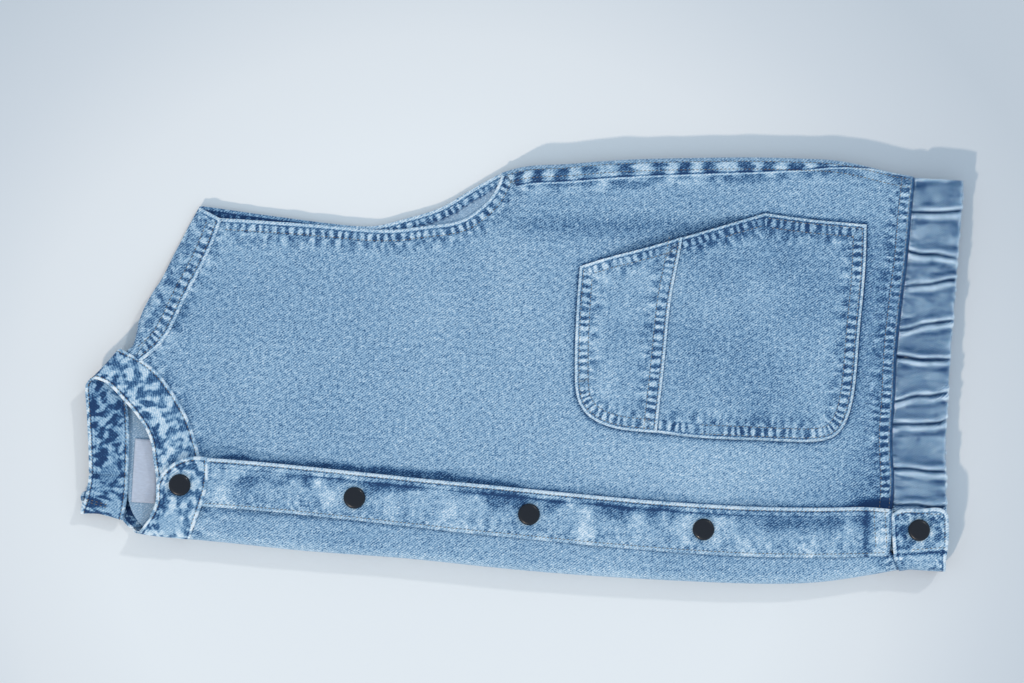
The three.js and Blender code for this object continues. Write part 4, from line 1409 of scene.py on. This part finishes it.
gatheredBand("left_front_band", (57, 303.2), outerLine, 16.9, 12.7, 4, "left_front",
             ["left_front_waistband"])
gatheredBand("left_back_band", (27, 303.4), lambda b: outerLine(b) + 0.8, 12.3, 8.5, 6, "upper_back",
             ["left_back_waistband"], fine=1.1, deep=1.6)
gatheredBand("right_back_band", (27, 219), outerLine, 8.1, 4.4, 8, "lower_half",
             ["right_back_waistband"], fine=1.1, deep=1.6)
gatheredBand("right_front_band", (25, 219.3), lambda b: outerLine(b) + 0.5, 3.9, 0.05, 9, "lower_half",
             ["right_front_waistband"], down=True, fine=0.9)


elastic = {"inner": 594, "outer": 621, "thickness": 0.5, "spacing": 4}


def elasticRibbon(name, bRange, middleZ, body):
    def surface(p):
        return stack(p[:, 0], p[:, 1], middleZ + 0.25 + 0.12 * noise1(p[:, 1] / 8, 87))
    corners = [(elastic["inner"], bRange[0]), (elastic["outer"], bRange[0]),
               (elastic["outer"], bRange[1]), (elastic["inner"], bRange[1])]
    ribbonCloth, _ = makeCloth(name + "_ribbon", [side([corner], step=4) for corner in corners], surface,
                               whiteElastic, elastic)
    finishSheet(ribbonCloth, [name], body)


elasticRibbon("left_front_elastic", (66, 296), 14.0, "left_front")
elasticRibbon("left_back_elastic", (34, 296), 9.8, "upper_back")
elasticRibbon("right_back_elastic", (34, 212), 5.8, "lower_half")
elasticRibbon("right_front_elastic", (34, 212), 2.2, "lower_half")
print("smock: waistbands gathered")


# under placket and under tab
def underSurface(p):
    a, b = p[:, 0], p[:, 1]
    return stack(a, b, np.full(len(a), heights["front"]) + 0.15 * noise1(a / 21, 86))


underPlacket = {"start": 90, "end": 589, "halfWidth": 14.5, "thickness": 1.6, "spacing": 2.0, "seed": 26}
underNear, underFar = (placketSide(underPlacket["start"], underPlacket["end"], half)
                       for half in (-underPlacket["halfWidth"], underPlacket["halfWidth"]))
underSides = [
    side(underNear, hem=6, mottle=0.7, pucker=0.2, wear=1),
    side([underFar[-1]], butt=True),
    side(underFar[::-1], hem=1, mottle=0.3),
    side([underNear[0]], butt=True),
]
underCloth, _ = makeCloth("under_placket_cloth", underSides, underSurface, washedDenim,
                          underPlacket)
finishSheet(underCloth, ["under_placket"], "left_front")
underTabSides = [side([corner], **waistLook) for corner in
                 ((590, 31.5), (bandStop - 1.5, 31.5), (bandStop - 1.5, 62), (590, 62))]
underTab, _ = makeCloth("under_tab_cloth", underTabSides, underSurface, washedDenim,
                        {**underPlacket, "spacing": 1.8, "seed": 27})
finishSheet(underTab, ["under_tab"], "left_front")


def pocketHeight(p):
    _, gap = nearestOnLine(p, pocketSewn)
    _, toMouth = nearestOnLine(p, pocketMouth)
    z = frontSurface(p)[:, 2] + clothThickness + 0.2
    z += pocket["puff"] * smooth(2, 40, gap) * (0.75 + 0.5 * rumple(p[:, 0], p[:, 1], 42, 91))
    z += pocket["mouthLift"] * smooth(26, 0, toMouth) * smooth(0, 40, gap)
    z += 0.30 * smooth(11, 8.5, gap)
    return z + 0.35 * noise2(p[:, 0] / 15, p[:, 1] / 17, 92) * smooth(4, 14, gap)


def wideSurface(p):
    divide = np.interp(p[:, 1], *np.array(pocket["divider"])[::-1].T[::-1])
    return stack(p[:, 0], p[:, 1], pocketHeight(p) - 0.5 * smooth(5, 0, p[:, 0] - divide))


def narrowSurface(p):
    divide = np.interp(p[:, 1], *np.array(pocket["divider"])[::-1].T[::-1])
    return stack(p[:, 0], p[:, 1], pocketHeight(p) + 1.25 * smooth(16, 8, divide - p[:, 0]))


def pocketTint(p, facts):
    a, b = p[:, 0], p[:, 1]
    patches = 0.13 * smooth(0.25, 0.8, rumple(a, b, 19, 97)) * smooth(26, 8, facts["gap"])
    return 0.05 * rumple(a, b, 34, 95) + 0.04 * noise2(a / 12, b / 18, 96) + patches \
        + 0.05 * smooth(424, 410, a) - 0.10 * smooth(15, 10, facts["gap"]) * smooth(228, 245, b)


pocketLook = {"hem": 9.6, "mottle": 0.85, "pucker": 0.3, "wear": 0.95}
mouthLook = {**pocketLook, "hem": 8.0}
narrowSides = [
    side(pocket["left"], **pocketLook),
    side([p for p in pocket["mouth"] if p[0] < 426] + [pocket["divider"][0]], **mouthLook),
    side(pocket["divider"], **pocketLook),
    side([p for p in pocket["bottom"] if p[0] < 417], **pocketLook),
]
narrowPiece, onNarrow = makeCloth("pocket_narrow_cloth", narrowSides, narrowSurface, pocketDenim,
                                  pocket["narrowCut"], tint=pocketTint)
finishSheet(narrowPiece, ["pocket_narrow_piece"], "left_front")
lapped = [(a - 2.5, b) for a, b in pocket["divider"]]
wideSides = [
    side([(lapped[0][0], lapped[0][1] - 1.2), *[p for p in pocket["mouth"] if p[0] > 430]], **mouthLook),
    side(pocket["far"], **pocketLook),
    side(pocket["side"], **pocketLook),
    side([p for p in pocket["bottom"] if p[0] > 417] + [(lapped[-1][0], lapped[-1][1] + 0.2)],
         **pocketLook),
    side(lapped[::-1][1:-1] + [(lapped[0][0], lapped[0][1] - 1.2)], butt=True),
]
widePiece, onWide = makeCloth("pocket_wide_cloth", wideSides, wideSurface, pocketDenim,
                              pocket["wideCut"], tint=pocketTint)
finishSheet(widePiece, ["pocket_wide_piece"], "left_front")
print("smock: pocket sewn on")


# snaps
snapCap = {"height": 2.6, "segments": 56,
           "profile": [(0, 2.45), (2.4, 2.45), (4.6, 2.42), (5.8, 2.34), (6.5, 2.2), (7.2, 1.75),
                       (7.7, 1.1), (7.95, 0.45), (7.9, 0.05), (7.4, -0.2), (0, -0.2)]}


def turned(name, centre, profile, segments, material):  # a profile turned round a vertical line
    vertices, faces, rings = [], [], []
    for r, z in profile:
        if r == 0:
            rings.append([len(vertices)])
            vertices.append(centre + [0, 0, z])
        else:
            rings.append(list(range(len(vertices), len(vertices) + segments)))
            for k in range(segments):
                angle = 2 * math.pi * k / segments
                vertices.append(centre + [r * math.cos(angle), r * math.sin(angle), z])
    for upper, lower in zip(rings, rings[1:]):
        for k in range(segments):
            n = (k + 1) % segments
            if len(upper) == 1:
                faces.append([upper[0], lower[k], lower[n]])
            elif len(lower) == 1:
                faces.append([upper[k], lower[0], upper[n]])
            else:
                faces.append([upper[k], lower[k], lower[n], upper[n]])
    return meshObject(name, vertices, faces, material)


for number in range(1, 6):
    corner = nodeBox(f"snap_cap_{number}")
    middle = (corner[0] + corner[1]) / 2
    foot = corner[1][2] - snapCap["height"]
    cap = turned(f"snap_cap_turned_{number}", np.array([middle[0], middle[1], foot]),
                 snapCap["profile"], snapCap["segments"], capEnamel)
    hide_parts(f"snap_cap_{number}")
    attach(cap, "placket_flap")
    for kind in ("socket", "stud", "post"):
        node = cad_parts[f"snap_{kind}_{number}"]
        node.data.materials.clear()
        node.data.materials.append(snapNickel)
print("smock: snaps pressed in")


# stitches
thread = {"pitch": 2.9, "stitch": 2.0, "thickness": 0.46}


def stitchTree(material):
    tree = bpy.data.node_groups.new("threadRows", "GeometryNodeTree")
    tree.interface.new_socket("Geometry", in_out="INPUT", socket_type="NodeSocketGeometry")
    sockets = {}
    for name in ("Pitch", "Stitch Length", "Thread Thickness"):
        sockets[name] = tree.interface.new_socket(name, in_out="INPUT", socket_type="NodeSocketFloat")
    tree.interface.new_socket("Geometry", in_out="OUTPUT", socket_type="NodeSocketGeometry")
    nodes = {name: tree.nodes.new(kind) for name, kind in (
        ("start", "NodeGroupInput"), ("row", "GeometryNodeMeshToCurve"),
        ("spaced", "GeometryNodeResampleCurve"), ("bead", "GeometryNodeMeshUVSphere"),
        ("size", "ShaderNodeCombineXYZ"), ("along", "GeometryNodeInputTangent"),
        ("turn", "FunctionNodeAlignRotationToVector"), ("beads", "GeometryNodeInstanceOnPoints"),
        ("real", "GeometryNodeRealizeInstances"), ("shade", "GeometryNodeSetShadeSmooth"),
        ("paint", "GeometryNodeSetMaterial"), ("end", "NodeGroupOutput"))}
    nodes["spaced"].mode = "LENGTH"
    nodes["turn"].axis = "Z"
    for name, value in (("Segments", 6), ("Rings", 4), ("Radius", 0.5)):
        nodes["bead"].inputs[name].default_value = value
    nodes["paint"].inputs["Material"].default_value = material
    for source, output, target, entry in (
            ("start", "Geometry", "row", "Mesh"), ("row", "Curve", "spaced", "Curve"),
            ("start", "Pitch", "spaced", "Length"), ("start", "Thread Thickness", "size", "X"),
            ("start", "Thread Thickness", "size", "Y"), ("start", "Stitch Length", "size", "Z"),
            ("along", "Tangent", "turn", "Vector"), ("spaced", "Curve", "beads", "Points"),
            ("bead", "Mesh", "beads", "Instance"), ("turn", "Rotation", "beads", "Rotation"),
            ("size", "Vector", "beads", "Scale"), ("beads", "Instances", "real", "Geometry"),
            ("real", "Geometry", "shade", "Geometry"), ("shade", "Geometry", "paint", "Geometry"),
            ("paint", "Geometry", "end", "Geometry")):
        tree.links.new(nodes[source].outputs[output], nodes[target].inputs[entry])
    return tree, {name: socket.identifier for name, socket in sockets.items()}


tanTree, paleTree = stitchTree(threadTan), stitchTree(threadPale)


def inset(points, distance, trim=(0.0, 0.0)):  # a line at a distance inside an edge
    fine = spline(points, 1.2)
    along = lengths(fine)
    keep = (along >= trim[0]) & (along <= along[-1] - trim[1])
    way = np.gradient(fine, axis=0)
    way /= np.linalg.norm(way, axis=1)[:, None]
    return (fine + np.stack([-way[:, 1], way[:, 0]], 1) * distance)[keep]


def stitched(name, rows, tree):
    vertices, edges = [], []
    for place, points, lift in rows:
        here, normal, _ = place(points)
        start = len(vertices)
        vertices += (here + normal * lift).tolist()
        edges += [(start + i, start + i + 1) for i in range(len(here) - 1)]
    guide = bpy.data.meshes.new(name + "_guide")
    guide.from_pydata((np.array(vertices) / 1000).tolist(), edges, [])
    source = linked(name + "_guide", guide)
    modifier = source.modifiers.new("thread", "NODES")
    group, names = tree
    modifier.node_group = group
    modifier[names["Pitch"]] = thread["pitch"] / 1000
    modifier[names["Stitch Length"]] = thread["stitch"] / 1000
    modifier[names["Thread Thickness"]] = thread["thickness"] / 1000
    bpy.context.view_layer.update()
    ready = source.evaluated_get(bpy.context.evaluated_depsgraph_get())
    mesh = bpy.data.meshes.new_from_object(ready)
    bpy.data.objects.remove(source)
    thing = linked(name, mesh)
    return thing


up = 0.15  # how far the thread stands above the cloth
frontRows = [
    (onFront, inset(smock["frontArmhole"][::-1], 7.6, (4, 6)), up),
    (onFront, inset(smock["sideLine"][::-1], 2.6, (3, 3)), up),
    (onFront, inset(smock["sideLine"][::-1], 8.4, (3, 3)), up),
    (onFront, inset(waistUp, 2.2, (2, 3)), up),
    (onFront, inset(waistUp, 9.0, (2, 3)), up),
]
frontThread = stitched("left_front_stitches", frontRows, tanTree)
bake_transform(frontThread)
shoulderThread = stitched("shoulder_stitches", [
    (onShoulder, inset(wrapInner, 3.0, (3, 3)), up), (onShoulder, inset(wrapInner, 9.4, (5, 5)), up)],
    tanTree)
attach(shoulderThread, "upper_back")
pocketRows = [(onWide, inset(points, distance, trim), up) for points, distance, trim in (
    (pocket["far"][::-1], 3.0, (3, 3)), (pocket["far"][::-1], 9.5, (9, 7)),
    (pocket["side"][::-1], 3.0, (2, 3)), (pocket["side"][::-1], 9.5, (2, 9)),
    ([p for p in pocket["bottom"] if p[0] > 419][::-1], 3.0, (1, 1)),
    ([p for p in pocket["bottom"] if p[0] > 419][::-1], 9.5, (1, 1)),
    ([p for p in pocket["mouth"] if p[0] > 425][::-1], 8.0, (5, 2)))]
pocketRows += [(onNarrow, inset(points, distance, trim), up) for points, distance, trim in (
    ([p for p in pocket["bottom"] if p[0] < 417][::-1], 3.0, (1, 1)),
    ([p for p in pocket["bottom"] if p[0] < 417][::-1], 9.5, (1, 1)),
    (pocket["left"][::-1], 3.0, (3, 1)), (pocket["left"][::-1], 9.5, (9, 1)),
    ([p for p in pocket["mouth"] if p[0] < 426][::-1], 8.0, (2, 9)),
    (pocket["divider"][::-1], 2.2, (2, 2)), (pocket["divider"][::-1], 9.6, (2, 2)))]
pocketThread = stitched("pocket_stitches", pocketRows, paleTree)
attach(pocketThread, "left_front")
flapThread = stitched("placket_stitches", [
    (onFlap, inset(sewnEdge, 2.0, (3, 3)), up), (onFlap, inset(freeEdge[::-1], 1.9, (3, 3)), up),
    *[(onFlap, inset([(a + 3, 35), (a, 61)], 0), up) for a in (577.5, 585.5)]], tanTree)
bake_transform(flapThread)
for name, (start, end) in zip(("back", "corner", "front"), collarParts):
    lines = [line[(line[:, 0] >= start) & (line[:, 0] < end)] for line in (
        inset([(0, 0), (collarLong, 0)], 1.9, (1, 1)), inset(collarWidths[::-1][::6], 1.9, (1, 1)))]
    collarThread = stitched(f"collar_{name}_stitches", [
        (onLeftCollar, line, lift) for line in lines for lift in (up, -1.7)], tanTree)
    if name == "corner":
        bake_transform(collarThread)
    else:
        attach(collarThread, {"back": "upper_back", "front": "left_front"}[name])
backThread = stitched("back_collar_stitches", [
    (onBackCollar, inset([(0, 0), (backLong, 0)], 1.9, (0.5, 1)), up),
    (onBackCollar, inset(backWidths[::-1][::6], 1.9, (1, 0.5)), up),
    *[(onBackCollar, np.stack([np.full(30, u), np.linspace(14, 31, 30)], 1), up) for u in (22.0, 24.0)]],
    tanTree)
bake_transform(backThread)
tabThread = stitched("collar_tab_stitches", [
    (onTab, inset(tab["edge"], 1.9, (1, 1)), up), (onTab, inset(tab["seam"], 1.9, (2, 2)), up)], tanTree)
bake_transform(tabThread)
waistThread = stitched("waist_tab_stitches", [
    (onWaistTab, inset([(bandStop + 0.8, 40), (bandStop - 0.5, 60)], 2.0, (1, 3)), up),
    (onWaistTab, inset([(bandStop - 2.5, 62.3), (610, 62.4), (597, 61.4), (591, 58.0)], 2.0, (3, 3)), up),
    (onWaistTab, np.stack([np.linspace(608, 630, 40), stepAt(np.linspace(608, 630, 40)) + 1.8], 1), up)],
    tanTree)
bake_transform(waistThread)
print("smock: stitched")


# floor, light and camera
studio = {
    "floorReach": 4.0,
    "paperLightFalloff": [(0.25, (0.785, 0.80, 0.805)), (0.33, (0.735, 0.75, 0.76)), (0.41, (0.62, 0.65, 0.68)),
              (0.49, (0.535, 0.575, 0.615))],  # metres from the middle, and the paper's colour there, darker outwards as a painted falloff of light
    "sky": (0.545, 0.665, 0.785, 1),
    "key": {"towards": (15, 30, -20), "strength": 1.82, "spread": 2.5, "colour": (1.0, 0.83, 0.67)},
    "second": {"towards": (-20, -24, -22), "strength": 0.62, "spread": 3.0, "colour": (1.0, 0.98, 0.95)},
    "lens": 100,
    "sensor": 36,
    "viewWidth": 0.7447,  # metres across the view
    "viewMiddle": (-0.0099, 0.0105),
    "viewTurn": 3.5,
}
reach = studio["floorReach"]
floorMesh = bpy.data.meshes.new("floor")
floorMesh.from_pydata([(-reach, -reach, 0), (reach, -reach, 0), (reach, reach, 0), (-reach, reach, 0)],
                      [], [(0, 1, 2, 3)])
floor = linked("floor", floorMesh)
paperLightFalloff = Shader("pale blue paper")
paperPlace = paperLightFalloff.add("ShaderNodeTexCoord").outputs["Object"]
fromMiddle = paperLightFalloff.add("ShaderNodeVectorMath", operation="LENGTH")
paperLightFalloff.links.new(paperLightFalloff.scaled(paperPlace, (1, 1, 1), (0.05, 0.10, 0)), fromMiddle.inputs[0])
# painted falloff of light: the paper darkens away from the middle
paperLightFalloff.links.new(paperLightFalloff.ramp(fromMiddle.outputs["Value"], studio["paperLightFalloff"]), paperLightFalloff.surface.inputs["Base Color"])
paperLightFalloff.finish(Roughness=0.95)
floorMesh.materials.append(paperLightFalloff.material)

world = bpy.data.worlds.new("studio")
world.use_nodes = True
world.node_tree.nodes["Background"].inputs["Color"].default_value = studio["sky"]
world.node_tree.nodes["Background"].inputs["Strength"].default_value = 1.0
bpy.context.scene.world = world
for name in ("key", "second"):
    sun = studio[name]
    lamp = bpy.data.lights.new(name, "SUN")
    lamp.energy = sun["strength"]
    lamp.angle = math.radians(sun["spread"])
    lamp.color = sun["colour"]
    linked(name, lamp).rotation_euler = Vector(sun["towards"]).to_track_quat("-Z", "Y").to_euler()

camera = bpy.data.cameras.new("camera")
camera.lens = studio["lens"]
camera.sensor_width = studio["sensor"]
camera.clip_end = 20
cameraObject = linked("camera", camera)
cameraHeight = studio["viewWidth"] * studio["lens"] / studio["sensor"] + 0.015
cameraObject.location = (*studio["viewMiddle"], cameraHeight)
cameraObject.rotation_euler = (0, 0, math.radians(studio["viewTurn"]))
bpy.context.scene.camera = cameraObject
bpy.context.scene.view_settings.view_transform = "Standard"
print("smock: floor, light and camera set")

print("smock: done")
